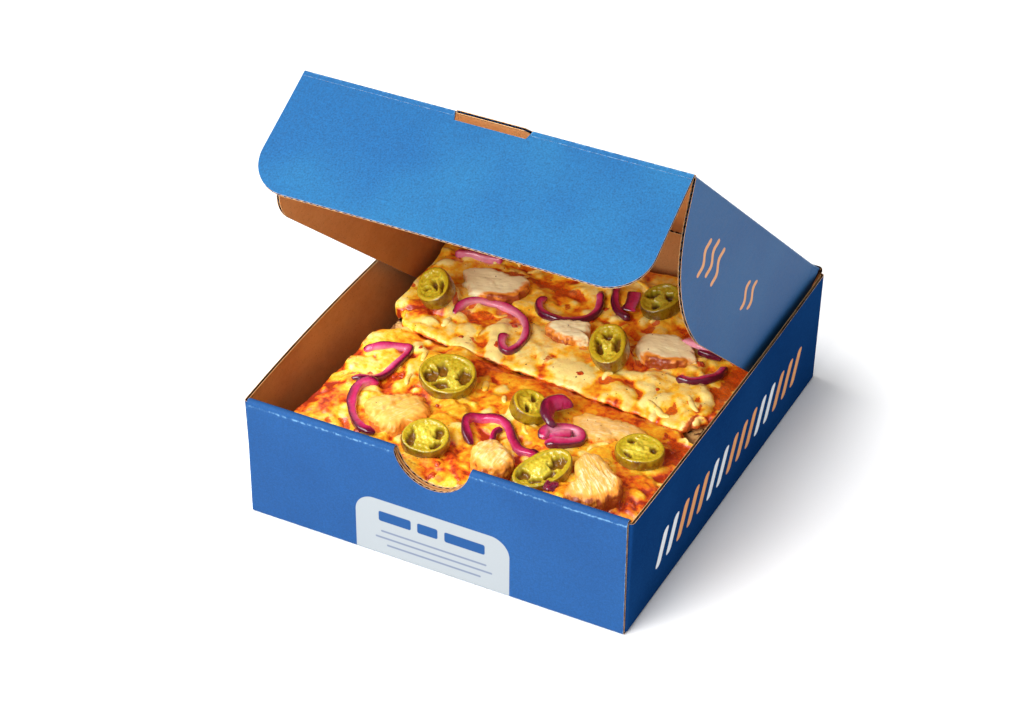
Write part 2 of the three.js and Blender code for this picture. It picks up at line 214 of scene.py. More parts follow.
class Finish:
    """A material: one Principled shader and what drives it, over the piece's own place in millimetres."""

    def __init__(self, name, **constants):
        self.material = bpy.data.materials.new(name)
        self.material.use_nodes = True
        self.tree = self.material.node_tree
        self.shader = self.tree.nodes["Principled BSDF"]
        for label, value in constants.items():
            self.shader.inputs[label.replace("_", " ").title().replace("Ior", "IOR")].default_value = value
        place = self.node("ShaderNodeTexCoord", output="Object")
        self.place = self.node("ShaderNodeVectorMath", {0: place, "Scale": 1 / MM}, operation="SCALE")
        self.x, self.y, self.z = (
            self.node("ShaderNodeSeparateXYZ", {0: self.place}, output=axis) for axis in "XYZ"
        )

    def node(self, kind, inputs=(), output=0, stops=None, **settings):
        made = self.tree.nodes.new(kind)
        for key, value in settings.items():
            setattr(made, key, value)
        if stops:
            ramp = made.color_ramp
            for extra in range(len(stops) - 2):
                ramp.elements.new((extra + 1) / len(stops))
            for element, (position, colour) in zip(ramp.elements, stops):
                element.position = position
                element.color = opaque(colour)
        for key, value in dict(inputs).items():
            self.feed(made.inputs[key], value)
        return Socket(self, made.outputs[output])

    def feed(self, socket, value):
        if isinstance(value, Socket):
            self.tree.links.new(value.link, socket)
        elif socket.type == "RGBA":
            socket.default_value = opaque(value)
        else:
            socket.default_value = value

    def maths(self, operation, *values):
        return self.node("ShaderNodeMath", dict(enumerate(values)), operation=operation)

    def mix(self, share, first, second):
        """A colour between first and second."""
        return self.node("ShaderNodeMix", {0: share, 6: first, 7: second}, 2, data_type="RGBA")

    def shade(self, colour, factor):
        """A colour made lighter or darker by a number."""
        if not isinstance(colour, Socket):
            colour = self.mix(0.0, colour, colour)
        return self.node("ShaderNodeVectorMath", {0: colour, "Scale": factor}, operation="SCALE")

    def ramp(self, value, *stops):
        return self.node("ShaderNodeValToRGB", {0: value}, stops=stops)

    def stretch(self, x=1, y=1, z=1):
        return self.node("ShaderNodeVectorMath", {0: self.place, 1: (x, y, z)}, operation="MULTIPLY")

    def mottle(self, size, place=None, detail=2.0, distortion=0.0):
        """Cloudy noise around 0.5, with lumps about size across."""
        inputs = {"Vector": place or self.place, "Scale": 1 / size, "Detail": detail}
        return self.node("ShaderNodeTexNoise", {**inputs, "Distortion": distortion})

    def cells(self, size):
        """Distance from the middle of the nearest of many scattered cells, in cells."""
        return self.node("ShaderNodeTexVoronoi", {"Vector": self.place, "Scale": 1 / size})

    def layer(self, name):
        """A number that the piece's mesh carries on its points."""
        return self.node("ShaderNodeAttribute", output="Fac", attribute_name=name)

    def colour(self, value):
        self.feed(self.shader.inputs["Base Color"], value)

    def roughness(self, value):
        self.feed(self.shader.inputs["Roughness"], value)

    def coat(self, value):
        self.feed(self.shader.inputs["Coat Weight"], value)

    def bump(self, height, depth):
        """Relief from a number, depth millimetres for 1."""
        relief = self.node("ShaderNodeBump", {"Height": height, "Distance": depth * MM})
        self.feed(self.shader.inputs["Normal"], relief)


def rounded_box(across, up, centre, half, corner):
    """Distance outside a rounded rectangle, in millimetres, below 0 inside."""
    over_across = (abs(across - centre[0]) - (half[0] - corner)).at_least(0)
    over_up = (abs(up - centre[1]) - (half[1] - corner)).at_least(0)
    return (over_across * over_across + over_up * over_up).root() - corner


def printed_board(name, carton, ink, ink_light, marks=None, flutes="x", speckle=0.3, sheen=0.14):
    """Blue print on the outer liner: paper grain, faint lines of the flutes, worn creases and marks."""
    finish = Finish(name, specular_ior_level=sheen)
    grain = finish.mottle(0.75, detail=2)
    cloud = finish.mottle(46, detail=1)
    fibres = finish.mottle(1.5, finish.stretch(1, 0.35, 0.6), detail=2)
    colour = finish.mix(cloud.rise(0.3, 0.7), ink, ink_light)
    depth = 1 + speckle * (grain - 0.5) * 2 + 0.17 * (fibres - 0.5)
    colour = finish.shade(colour, depth)
    if marks:
        colour = marks(finish, colour, carton)
    worn = finish.mottle(1.9, detail=3).rise(0.44, 0.66)
    scuffs = finish.layer("crease") * (0.06 + 0.8 * worn)
    colour = finish.mix(scuffs.at_most(0.7), colour, carton.scuff_colour)
    finish.colour(colour)
    finish.roughness(0.48 + 0.16 * fibres)
    coordinate = {"x": finish.x, "z": finish.z}[flutes]
    washboard = (coordinate * (2 * pi / carton.flute_pitch)).sine()
    finish.bump(0.12 * washboard + 0.5 * grain + 0.6 * fibres, 0.035)
    return finish.material


def front_label(finish, colour, carton):
    """A pale panel that runs off the bottom edge, with one broad rule of blocks and three thin ones."""
    panel = rounded_box(finish.x, finish.z, (-0.3, 6), (40.7, 27), 10).rise(0.15, -0.15)
    front = (finish.y + HALF_DEPTH).rise(1.0, 0.7)
    ink = 0
    for centre, half in ((-20, 8.6), (-2.6, 5.4), (17, 10.6)):
        block = rounded_box(finish.x, finish.z, (centre, 23.4), (half, 2.9), 1.1)
        ink = ink + block.rise(0.2, -0.2)
    rules = 0
    for height, half in ((14.6, 28), (10.7, 31), (6.8, 25)):
        rule = rounded_box(finish.x, finish.z, (0.5, height), (half, 0.55), 0.5)
        rules = rules + rule.rise(0.15, -0.15)
    sheet = finish.mix(ink, carton.label_colour, carton.print_colour)
    sheet = finish.mix(rules * 0.7, sheet, carton.rule_colour)
    return finish.mix(panel * front, colour, sheet)


def side_dashes(finish, colour, carton):
    """A band of slanted strokes along the right wall, in white and orange runs."""
    slant = finish.y - 0.42 * (finish.z - 25)
    wall = finish.x.rise(HALF_WIDTH - 0.9, HALF_WIDTH - 0.6)
    start, step = -84, 11.5
    count = 15
    inside = slant.rise(start - 1, start - 0.9) * slant.rise(start + count * step + 0.1, start + count * step)
    stroke = (slant - start).repeat(step)
    body = rounded_box(stroke, finish.z, (step / 2, 26), (2.7, 9.5), 2.2).rise(0.2, -0.2)
    second = (slant - start).repeat(5 * step)
    orange = second.rise(2 * step - 0.1, 2 * step + 0.1)
    ink = finish.mix(orange, carton.mark_colour, carton.accent_colour)
    return finish.mix(body * inside * wall, colour, ink)


def steam_marks(finish, colour, carton):
    """Short wavy strokes on the right side flap, in two groups."""
    place = Vector((0, HINGE.y, HINGE.z))
    down = -LID_ALONG.cross(X)
    along = (finish.y - place.y) * LID_ALONG.y + (finish.z - place.z) * LID_ALONG.z
    depth = (finish.y - place.y) * down.y + (finish.z - place.z) * down.z
    outside = finish.x.rise(LID_HALF_WIDTH - 0.9, LID_HALF_WIDTH - 0.6)
    ink = 0
    strokes = ((178, 29, 9.5), (167, 27, 9.5), (156, 29, 9.5), (104, 33, 7.5), (94, 31, 7.5))
    for centre, middle, half in strokes:
        wave = along + 1.5 * ((depth - middle) * 0.5).sine()
        stroke = rounded_box(wave, depth, (centre, middle), (1.7, half), 1.6)
        ink = ink + stroke.rise(0.2, -0.2)
    return finish.mix(ink * outside, colour, carton.accent_colour)


def kraft_board(carton):
    """Unprinted inner liner: brown paper with fibres and flecks."""
    finish = Finish(PAPERS[0], specular_ior_level=0.25)
    fibres = finish.mottle(1.1, finish.stretch(1, 0.3, 0.5), detail=3)
    cloud = finish.mottle(24, detail=2)
    flecks = finish.mottle(0.8, detail=1).rise(0.63, 0.72)
    tone = (0.45 * fibres + 0.55 * cloud).rise(0.3, 0.7)
    colour = finish.mix(tone, carton.kraft_dark, carton.kraft_colour)
    colour = finish.mix(flecks * 0.35, colour, carton.kraft_fleck)
    worn = finish.layer("crease") * 0.35
    finish.colour(finish.mix(worn, colour, carton.edge_colour))
    finish.roughness(0.82 + 0.1 * fibres)
    finish.bump(fibres + 0.4 * cloud, 0.05)
    return finish.material


def shaded_flutes(carton):
    """The insides of the flutes, painted near-black: painted shade in the hollows of a cut edge."""
    finish = Finish(PAPERS[2], roughness=0.95, specular_ior_level=0.1)
    finish.colour(finish.shade(carton.kraft_fleck, 0.04 + 0.1 * finish.mottle(1.2)))
    return finish.material


def raw_edge(carton):
    """Cut board: torn liner edges and the thin cut rims of the fluted paper between them."""
    finish = Finish(PAPERS[1], roughness=0.9, specular_ior_level=0.2)
    torn = finish.mottle(0.7, detail=3)
    colour = finish.mix(torn.rise(0.3, 0.7), carton.kraft_colour, carton.edge_colour)
    finish.colour(finish.shade(colour, 0.75 + 0.5 * finish.mottle(2.4)))
    finish.bump(torn, 0.12)
    return finish.material


def baked_dough(pizza):
    finish = Finish("baked dough", specular_ior_level=0.3, subsurface_weight=0.08, subsurface_scale=2 * MM)
    crumb = finish.mottle(2.2, detail=4)
    pores = finish.cells(2.6).rise(0.1, 0.45)
    height = finish.z.rise(31, 38)
    colour = finish.mix((crumb + 0.5 * height - 0.25).rise(0.25, 0.75), pizza.crust_dark, pizza.crust_colour)
    finish.colour(finish.mix(finish.mottle(9).rise(0.5, 0.72) * 0.6, colour, pizza.crust_toast))
    finish.roughness(0.72 + 0.15 * crumb)
    finish.bump(pores + 1.5 * crumb, 0.35)
    return finish.material


def melted_cheese(pizza):
    """Cheese and sauce: the relief's own layers say where each shows."""
    finish = Finish("melted cheese", subsurface_weight=0.12, subsurface_scale=1.6 * MM, coat_roughness=0.18)
    melt, sauce, toast = map(finish.layer, ("melt", "sauce", "toast"))
    fine = finish.mottle(1.1, detail=3)
    blotch = finish.mottle(5.5, detail=2)
    patch = finish.mottle(2.6, detail=3)
    tone = melt + 0.3 * (fine - 0.5) + 0.62 * (blotch - 0.5) + 0.75 * (patch - 0.5)
    colour = finish.ramp(
        tone,
        (0.0, pizza.sauce_dark),
        (0.14, pizza.sauce_colour),
        (0.36, pizza.oil_colour),
        (0.6, pizza.cheese_colour),
        (0.98, pizza.cream_colour),
    )
    wet = (sauce + 0.8 * (finish.mottle(2.0, detail=3) - 0.5)).rise(0.42, 0.72)
    soaked = wet * 0.9
    pooled = wet.rise(0.7, 1.0) * fine.rise(0.4, 0.6) * 0.7
    colour = finish.mix(soaked, colour, finish.mix(pooled, pizza.sauce_colour, pizza.sauce_dark))
    flecks = finish.mottle(1.0, detail=2).rise(0.64, 0.74)
    colour = finish.mix(flecks * 0.4, colour, pizza.toast_colour)
    browned = (toast + 0.9 * (finish.mottle(1.6, detail=3) - 0.5)).rise(0.55, 0.85)
    finish.colour(finish.mix(browned * 0.7, colour, pizza.toast_colour))
    finish.roughness(0.3 + 0.2 * fine - 0.1 * wet)
    finish.coat(0.2 + 0.35 * wet + 0.25 * blotch.rise(0.5, 0.6))
    finish.bump(fine + 0.5 * blotch, 0.14)
    return finish.material


def cooked_chicken(pizza):
    """Torn breast: cream fibres inside, golden to brown where it was seared."""
    under = {"subsurface_weight": 0.12, "subsurface_scale": 1.2 * MM, "subsurface_radius": (1.0, 0.8, 0.5)}
    finish = Finish("cooked chicken", coat_roughness=0.25, **under)
    sear, grain, fibre, run, cross = map(finish.layer, ("sear", "grain", "fibre", "run", "cross"))
    threads = finish.node("ShaderNodeCombineXYZ", {0: run * 0.2, 1: cross * 1.25, 2: finish.z * 0.5})
    threads = finish.mottle(1, threads, detail=2, distortion=0.3)
    fine = finish.mottle(1.2, detail=3)
    spots = finish.mottle(2.2, detail=3)
    streak = (grain + fibre * 2.4 * (threads - 0.5) + 0.45 * (fine - 0.5)).rise(0.05, 0.95)
    meat = finish.ramp(streak, (0.0, pizza.meat_dark), (0.6, pizza.meat_colour), (1.0, pizza.meat_white))
    tone = sear + 0.45 * (spots - 0.5) + 0.7 * fibre * (threads - 0.5)
    colour = finish.mix(tone.rise(0.1, 0.6), meat, pizza.sear_colour)
    colour = finish.mix(tone.rise(0.62, 1.0), colour, pizza.char_colour)
    finish.colour(finish.mix(spots.rise(0.66, 0.8) * 0.35, colour, pizza.sear_colour))
    finish.roughness(0.4 + 0.2 * fine)
    finish.coat(0.1 + 0.2 * sear.at_most(1) + 0.1 * spots)
    finish.bump(0.6 * fine + fibre * 2.4 * threads, 0.16)
    return finish.material


def pickled_chilli(pizza):
    """Olive skin round a paler wall, with the wet yellow-green core inside."""
    finish = Finish("pickled chilli", subsurface_weight=0.22, subsurface_scale=2.2 * MM, coat_roughness=0.08)
    skin, core, pocket, ripe = map(finish.layer, ("skin", "core", "pocket", "ripe"))
    fine = finish.mottle(1.2, detail=3)
    blush = finish.mottle(6, detail=2)
    flesh = finish.mix((core + 0.5 * (fine - 0.5)).rise(0.2, 0.8), pizza.flesh_colour, pizza.core_colour)
    # Pockets turn dark: painted shade in the hollows beside the core.
    flesh = finish.mix((pocket + 0.4 * (blush - 0.5)).rise(0.15, 0.85), flesh, pizza.pocket_colour)
    olive = finish.mix(blush.rise(0.35, 0.65), pizza.skin_colour, pizza.skin_light)
    colour = finish.mix((skin + 0.3 * (fine - 0.5)).rise(0.3, 0.7), flesh, olive)
    finish.colour(finish.shade(colour, ripe * (0.82 + 0.36 * fine)))
    finish.roughness(0.2 + 0.2 * fine)
    finish.coat(0.45 * skin + 0.5 - 0.4 * pocket)
    finish.bump(fine + 0.5 * blush, 0.12)
    return finish.material


def red_onion(pizza):
    """Softened onion: purple skin side, magenta flesh and a pale cut face."""
    finish = Finish("red onion", subsurface_weight=0.15, subsurface_scale=1.5 * MM, coat_roughness=0.06)
    out, depth = finish.layer("out"), finish.layer("depth")
    fine = finish.mottle(1.0, detail=3)
    blotch = finish.mottle(4, detail=2)
    tone = out + depth + 0.3 * (blotch - 0.5) + 0.2 * (fine - 0.5)
    colour = finish.ramp(
        tone,
        (0.1, pizza.onion_pale),
        (0.45, pizza.onion_pink),
        (0.66, pizza.onion_flesh),
        (0.86, pizza.onion_deep),
        (1.0, pizza.onion_skin),
    )
    finish.colour(finish.shade(colour, 0.85 + 0.3 * fine))
    finish.roughness(0.14 + 0.16 * fine)
    finish.coat(0.5 + 0.3 * out.at_most(1))
    finish.bump(fine, 0.1)
    return finish.material


def small_finish(name, light, dark, size, roughness, coat=0.0):
    """A finish for crumbs, herbs and bits: two tones of one colour."""
    finish = Finish(name, coat_weight=coat)
    cloud = finish.mottle(size, detail=3)
    finish.colour(finish.mix(cloud.rise(0.35, 0.65), dark, light))
    finish.roughness(roughness + 0.15 * cloud)
    finish.bump(cloud, 0.15)
    return finish.material


# Meshes


def linked(name, data):
    """A new object in the scene."""
    made = bpy.data.objects.new(name, data)
    bpy.context.scene.collection.objects.link(made)
    return made


def object_from(name, bm):
    """A new object that takes over a bmesh's shape."""
    mesh = bpy.data.meshes.new(name)
    bm.to_mesh(mesh)
    bm.free()
    return linked(name, mesh)


def solidified(name, bm, materials, body, replaces=(), smooth=True):
    """Turns a bmesh in millimetres into a piece in metres that rides on a body."""
    bmesh.ops.recalc_face_normals(bm, faces=bm.faces)
    bmesh.ops.transform(bm, matrix=Matrix.Scale(MM, 4), verts=bm.verts)
    made = object_from(name, bm)
    made.data.polygons.foreach_set("use_smooth", [smooth] * len(made.data.polygons))
    for material in materials:
        made.data.materials.append(material)
    if body:
        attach(made, body)
    if replaces:
        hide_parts(*replaces)
    return made


def number_layers(bm, *names):
    """The numbers that a bmesh carries on its points under these names."""
    layers = bm.verts.layers.float
    for name in names:
        layers.get(name) or layers.new(name)
    return [layers[name] for name in names]


def unrolled(bm, columns, rows):
    """The points of a flat grid, each with how far across and up it lies, from 0 to 1."""
    made = bmesh.ops.create_grid(bm, x_segments=columns, y_segments=rows, size=1)["verts"]
    return [(vert, (vert.co.x + 1) / 2, (vert.co.y + 1) / 2) for vert in made]


def faces_round(verts):
    """The faces that touch these points, each once."""
    return list(dict.fromkeys(face for vert in verts for face in vert.link_faces))


def only(kind, parts):
    return [part for part in parts if isinstance(part, kind)]


def close_holes(bm):
    bmesh.ops.holes_fill(bm, edges=[edge for edge in bm.edges if edge.is_boundary], sides=0)


def softened(bm, factor):
    axes = {f"use_axis_{axis}": True for axis in "xyz"}
    bmesh.ops.smooth_vert(bm, verts=bm.verts, factor=factor, **axes)


def blunted(value, power):
    """A cosine or sine that stays near -1 and 1 for longer, which squares a round section off."""
    return copysign(abs(value) ** power, value)


def smooth_step(value, low, high):
    share = np.clip((value - low) / (high - low), 0, 1)
    return share * share * (3 - 2 * share)


def field(x, y, size, seed):
    """Smooth noise from -1 to 1 over a plane, with lumps about size across."""
    table = np.random.default_rng(seed).uniform(-1, 1, (97, 97))
    u, v = np.asarray(x) / size + 31.7, np.asarray(y) / size + 17.3
    column, row = np.floor(u).astype(int), np.floor(v).astype(int)
    across, up = smooth_step(u - column, 0, 1), smooth_step(v - row, 0, 1)

    def corner(right, above):
        return table[(column + right) % 97, (row + above) % 97]

    low = corner(0, 0) * (1 - across) + corner(1, 0) * across
    high = corner(0, 1) * (1 - across) + corner(1, 1) * across
    return low * (1 - up) + high * up


def rough(x, y, *layers):
    """The sum of several such noises, each with its strength, size and seed."""
    return sum(strength * field(x, y, size, seed) for strength, size, seed in layers)


def spline(points, steps):
    """Points along a smooth curve through given ones."""
    knots = [Vector(point) for point in points]
    knots = [2 * knots[0] - knots[1], *knots, 2 * knots[-1] - knots[-2]]
    line = []
    for step in range(steps + 1):
        along = step / steps * (len(points) - 1)
        index = min(int(along), len(points) - 2)
        t = along - index
        a, b, c, d = knots[index : index + 4]
        square, cube = 2 * a - 5 * b + 4 * c - d, 3 * b - a - 3 * c + d
        line.append(0.5 * (2 * b + (c - a) * t + square * t**2 + cube * t**3))
    return line


def sweep(bm, line, sides, section, tilt=0.0):
    """A closed tube along a line. section(share, angle) gives its reach sideways and up; tilt leans it."""
    steps = len(line) - 1
    share_layer, turn_layer = number_layers(bm, "share", "turn")
    tube = unrolled(bm, steps, sides)
    for vert, share, up in tube:
        turn = up * 2 * pi
        index = round(share * steps)
        forward = (line[min(index + 1, steps)] - line[max(index - 1, 0)]).normalized()
        side = Matrix.Rotation(tilt, 3, forward) @ forward.cross(UP).normalized()
        across, up = section(share, turn)
        vert.co = line[index] + side * across + side.cross(forward) * up
        vert[share_layer], vert[turn_layer] = share, turn
    verts = [vert for vert, _, _ in tube]
    bmesh.ops.remove_doubles(bm, verts=verts, dist=MERGED)
    return [vert for vert in verts if vert.is_valid]


# Corrugated board


class Profile:
    """A line across a sheet of board, on its outer face: straight runs joined by round folds."""

    def __init__(self, corners, inward, step=8.0):
        """corners hold (a, b) or (a, b, fold radius). inward is 1 where the board lies left of it, or -1."""
        places = [Vector(corner[:2]) for corner in corners]
        radii = [corner[2] if len(corner) > 2 else 0 for corner in corners]
        headings = [(b - a).normalized() for a, b in zip(places, places[1:])]
        points, turned, self.runs = [], [], []
        start, length = places[0], 0.0
        for index, heading in enumerate(headings):
            corner, radius = places[index + 1], radii[index + 1]
            bend = heading.angle_signed(headings[index + 1]) if radius else 0.0
            pull = radius * tan(abs(bend) / 2)
            end = corner - heading * pull
            run = (end - start).length
            count = max(1, round(run / step))
            shares = [n / count for n in range(count + 1)] if run > 1e-3 else [0.0]
            points += [start.lerp(end, share) for share in shares]
            turned += [heading] * len(shares)
            self.runs.append((length, length + run))
            length += run
            if radius:
                centre = end + Vector((-heading.y, heading.x)) * radius * (-1 if bend > 0 else 1)
                steps = max(3, ceil(abs(bend) / radians(16)))
                turns = [Matrix.Rotation(-bend * n / steps, 2) for n in range(1, steps)]
                points += [centre + turn @ (end - centre) for turn in turns]
                turned += [turn @ heading for turn in turns]
                start = corner + headings[index + 1] * pull
                length += radius * abs(bend)
        self.points = np.array(points)
        self.normals = np.array([(-t.y * inward, t.x * inward) for t in turned])
        gaps = np.linalg.norm(np.diff(self.points, axis=0), axis=1)
        self.s = np.concatenate([[0], np.cumsum(gaps)])
        self.length = self.s[-1]

    def at(self, s, depth):
        """The point depth millimetres under the outer face."""
        place = [np.interp(s, self.s, self.points[:, axis]) for axis in (0, 1)]
        normal = Vector([np.interp(s, self.s, self.normals[:, axis]) for axis in (0, 1)]).normalized()
        return place[0] + normal.x * depth, place[1] + normal.y * depth

    def station(self, axis, value, run):
        """How far along a straight run the line reaches a value of a (axis 0) or b (axis 1)."""
        low, high = self.runs[run]
        ends = self.at(low, 0)[axis], self.at(high, 0)[axis]
        return low + (high - low) * (value - ends[0]) / (ends[1] - ends[0])


class Board:
    """A sheet of corrugated board, bent along a profile and cut to a span that may vary along it."""

    def __init__(self, carton, profile, span, placed, stations=(), creases=(), flutes="across", columns=14):
        self.carton, self.profile, self.span, self.placed = carton, profile, span, placed
        self.flutes, self.creases, self.thickness = flutes, creases, carton.board
        near = [crease + shift for crease in creases for shift in (-0.7, -0.35, 0, 0.35, 0.7)]
        rim = [WORN_RIM, profile.length - WORN_RIM]
        marks = np.concatenate([profile.s, stations, near, rim])
        marks = np.unique(np.round(np.clip(marks, 0, profile.length), 3))
        self.stations = marks[np.concatenate([[True], np.diff(marks) > 0.02])]
        self.columns = [0.0, *np.linspace(0, 1, columns), 1.0]
        self.hole = None

    def point(self, s, v, depth):
        a, b = self.profile.at(s, depth)
        return self.placed(a, b, v, depth)

    def column_place(self, s, column):
        """The cut's first and last columns stand close together, so that its rim can be worn."""
        low, high = self.span(s)
        if column == 1:
            return low + WORN_RIM
        if column == len(self.columns) - 2:
            return high - WORN_RIM
        return low + (high - low) * self.columns[column]

    def build(self, bm, fluted=True):
        rows, columns = len(self.stations) - 1, len(self.columns) - 1
        s_layer, v_layer, crease = number_layers(bm, "s", "v", "crease")
        grid = []
        for vert, along, across in unrolled(bm, rows, columns):
            row, column = round(along * rows), round(across * columns)
            s = float(self.stations[row])
            vert[s_layer], vert[v_layer] = s, self.column_place(s, column)
            edge = row in (0, rows) or column in (0, columns)
            fold = sum(exp(-(((s - place) / CREASE_SPREAD) ** 2)) for place in self.creases)
            vert[crease] = max(float(edge), min(1.0, fold))
            grid.append((row, column, vert))
        if self.hole:
            bmesh.ops.delete(bm, geom=self.hole(grid), context="FACES")
            rest = [vert for _, _, vert in grid if vert.is_valid]
            bmesh.ops.remove_doubles(bm, verts=rest, dist=1e-7)
        sheet = [vert for _, _, vert in grid if vert.is_valid]
        faces = faces_round(sheet)
        rims = self.rims(faces, s_layer, v_layer)
        for vert in sheet:
            vert.co = self.point(vert[s_layer], vert[v_layer], 0)
        raised = bmesh.ops.extrude_face_region(bm, geom=faces, use_keep_orig=True)["geom"]
        copied = only(BMVert, raised)
        for vert in copied:
            vert.co = self.point(vert[s_layer], vert[v_layer], self.thickness)
        back = only(BMFace, raised)
        known = {*faces, *back}
        around = [face for face in faces_round(copied) if face not in known]
        for face in back:
            face.material_index = 1
        for face in around:
            face.material_index = 2
        if fluted:
            bmesh.ops.recalc_face_normals(bm, faces=[*faces, *back, *around])
            liner = self.carton.liner
            bmesh.ops.inset_region(bm, faces=around, use_boundary=True, use_even_offset=True, thickness=liner)
            raised = bmesh.ops.extrude_face_region(bm, geom=around)["geom"]
            bmesh.ops.delete(bm, geom=around, context="FACES_ONLY")
            floor = only(BMFace, raised)
            shifts = {}
            for face in floor:
                for vert in face.verts:
                    shifts.setdefault(vert, Vector()).__iadd__(face.normal)
            for vert, heading in shifts.items():
                vert.co -= heading.normalized() * self.carton.groove
            # The groove's floor takes the near-black finish: painted shade in the hollow between the liners.
            for face in floor:
                face.material_index = 3
            for rim in rims:
                self.medium(bm, rim)

    def rims(self, faces, s_layer, v_layer):
        """Closed lines of (s, v) along the sheet's edges, with the board on their left."""
        following = {}
        for face in faces:
            for loop in face.loops:
                if loop.edge.is_boundary:
                    following[loop.vert] = loop.link_loop_next.vert
        found = []
        while following:
            vert = next(iter(following))
            line = []
            while vert in following:
                line.append((vert[s_layer], vert[v_layer]))
                vert = following.pop(vert)
            found.append(np.array(line))
        return found

    def medium(self, bm, rim):
        """The fluted paper that shows between the liners along a cut edge."""
        carton = self.carton
        closed = np.vstack([rim, rim[:1]])
        gaps = np.linalg.norm(np.diff(closed, axis=0), axis=1)
        lengths = np.concatenate([[0], np.cumsum(gaps)])
        count = int(lengths[-1] / carton.flute_step)
        shares = np.linspace(0, lengths[-1], count)
        s, v = (np.interp(shares, lengths, closed[:, axis]) for axis in (0, 1))
        ahead = np.stack([np.gradient(s), np.gradient(v)], axis=1)
        ahead /= np.maximum(np.linalg.norm(ahead, axis=1), 1e-9)[:, None]
        inward = np.stack([-ahead[:, 1], ahead[:, 0]], axis=1)
        wander = rough(shares, shares * 0, (1.1, 7, 5), (0.5, 2.3, 6))
        across = (s if self.flutes == "across" else v) + wander * 0.45
        reach = (self.thickness - 2 * carton.liner - carton.medium) / 2
        height = self.thickness / 2 + reach * np.sin(2 * pi * across / carton.flute_pitch)
        strip = unrolled(bm, count - 1, 1)
        for vert, along, up in strip:
            index = round(along * (count - 1))
            sunk = 0.1 + up * carton.groove
            place = (s[index] + inward[index, 0] * sunk, v[index] + inward[index, 1] * sunk)
            vert.co = self.point(*place, height[index])
        faces = faces_round([vert for vert, _, _ in strip])
        faces += only(BMFace, bmesh.ops.solidify(bm, geom=faces, thickness=carton.medium)["geom"])
        # The fluted paper's broad faces take the near-black finish, painted shade; only its thin cut rims
        # take the raw edge.
        for face in faces:
            face.material_index = 2 if face.calc_area() < carton.medium * carton.flute_step * 2 else 3


def curve_through(first, bend, last, steps):
    """Points on the curve that leaves first, bends towards bend and ends at last."""
    shares = [step / steps for step in range(steps + 1)]
    bends = zip(first, bend, last)
    curves = [[(1 - t) ** 2 * a + 2 * t * (1 - t) * b + t * t * c for t in shares] for a, b, c in bends]
    return list(zip(*curves))


def bow(side, y, z):
    """How far a side wall has sprung outwards."""
    return WALL_BOW[side] * max(z, 0) / SIDE_TOP * max(0.0, 1 - (y / HALF_DEPTH) ** 2)


def toe(z, radius):
    """How far a wall's foot draws in as it rounds into the floor."""
    return radius - sqrt(max(0.0, radius**2 - max(0.0, radius - z) ** 2))


def side_wall(carton, side):
    fold, board = carton.fold_radius, carton.board
    lap = HALF_DEPTH - board - 0.05
    outer = HALF_WIDTH - 0.1
    corners = [(78, -lap), (outer, -lap, fold), (outer, lap, fold), (78, lap)]
    profile = Profile(corners, 1)

    def placed(x, y, z, depth):
        lean = WALL_LEAN * z / SIDE_TOP + bow(side, y, z) - toe(z, fold) * (x > outer - 4)
        return Vector((side * (x + lean), y, z))

    wall = Board(carton, profile, lambda s: (0.0, SIDE_TOP), placed, flutes="along", columns=14)
    wall.columns = [0, WORN_RIM / SIDE_TOP, 0.9 / SIDE_TOP, 1.8 / SIDE_TOP, *np.linspace(0.06, 1, 9), 1]
    return wall


def front_wall(carton):
    fold, board = carton.fold_radius, carton.board
    front, back, roll = -HALF_DEPTH, -HALF_DEPTH + 3 * board, 1.5 * board
    corners = [(front + 14, 0), (front, 0, fold), (front, FRONT_TOP, roll), (back, FRONT_TOP, roll)]
    profile = Profile([*corners, (back, board + 0.2)], -1)
    lowest = NOTCH_CENTRE - NOTCH_RADIUS
    steepest = acos((NOTCH_CENTRE - FRONT_TOP + roll) / NOTCH_RADIUS)
    heights = [lowest + NOTCH_RADIUS * (1 - cos(steepest * n / 12)) for n in range(13)]
    heights += [lowest - 0.8, lowest - 2.5, lowest - 6]
    outer = [profile.station(1, z, 1) for z in heights]
    inner = [profile.station(1, z, 3) for z in heights]
    creases = [profile.runs[1][1] - 0.1, profile.runs[0][1] + 1]
    placed = lambda y, z, x, depth: Vector((x, y, z))
    span = lambda s: (-PANEL_HALF, PANEL_HALF)
    wall = Board(carton, profile, span, placed, outer + inner, creases, "along")
    middle = 7
    flank = [n / 8 for n in range(1, 9)]
    notch_span = (min(outer), max(inner))

    def notch_half(s):
        height = profile.at(s, 0)[1]
        if not notch_span[0] - 8 < s < notch_span[1] + 8:
            return NOTCH_HALF_WIDTH
        if height >= lowest:
            return sqrt(max(0.0, NOTCH_RADIUS**2 - (NOTCH_CENTRE - height) ** 2))
        return min(NOTCH_HALF_WIDTH, 1.6 * (lowest - height))

    def column_place(s, column):
        count = len(wall.columns) - 1
        offset = column - count / 2
        half = notch_half(s)
        if abs(offset) <= middle:
            return half * offset / middle
        share = flank[int(abs(offset)) - middle - 1]
        reach = half + (PANEL_HALF - half) * share
        if column in (1, count - 1):
            reach = PANEL_HALF - WORN_RIM
        return copysign(reach, offset)

    def hole(grid):
        low, high = notch_span
        inside = {
            vert
            for row, column, vert in grid
            if abs(column - (len(wall.columns) - 1) / 2) <= middle
            and low - 1e-3 <= wall.stations[row] <= high + 1e-3
            and profile.at(wall.stations[row], 0)[1] >= lowest - 1e-3
        }
        faces = faces_round([vert for _, _, vert in grid])
        return [face for face in faces if inside.issuperset(face.verts)]

    wall.columns = [0] * (2 * (middle + len(flank)) + 1)
    wall.column_place = column_place
    wall.hole = hole
    return wall


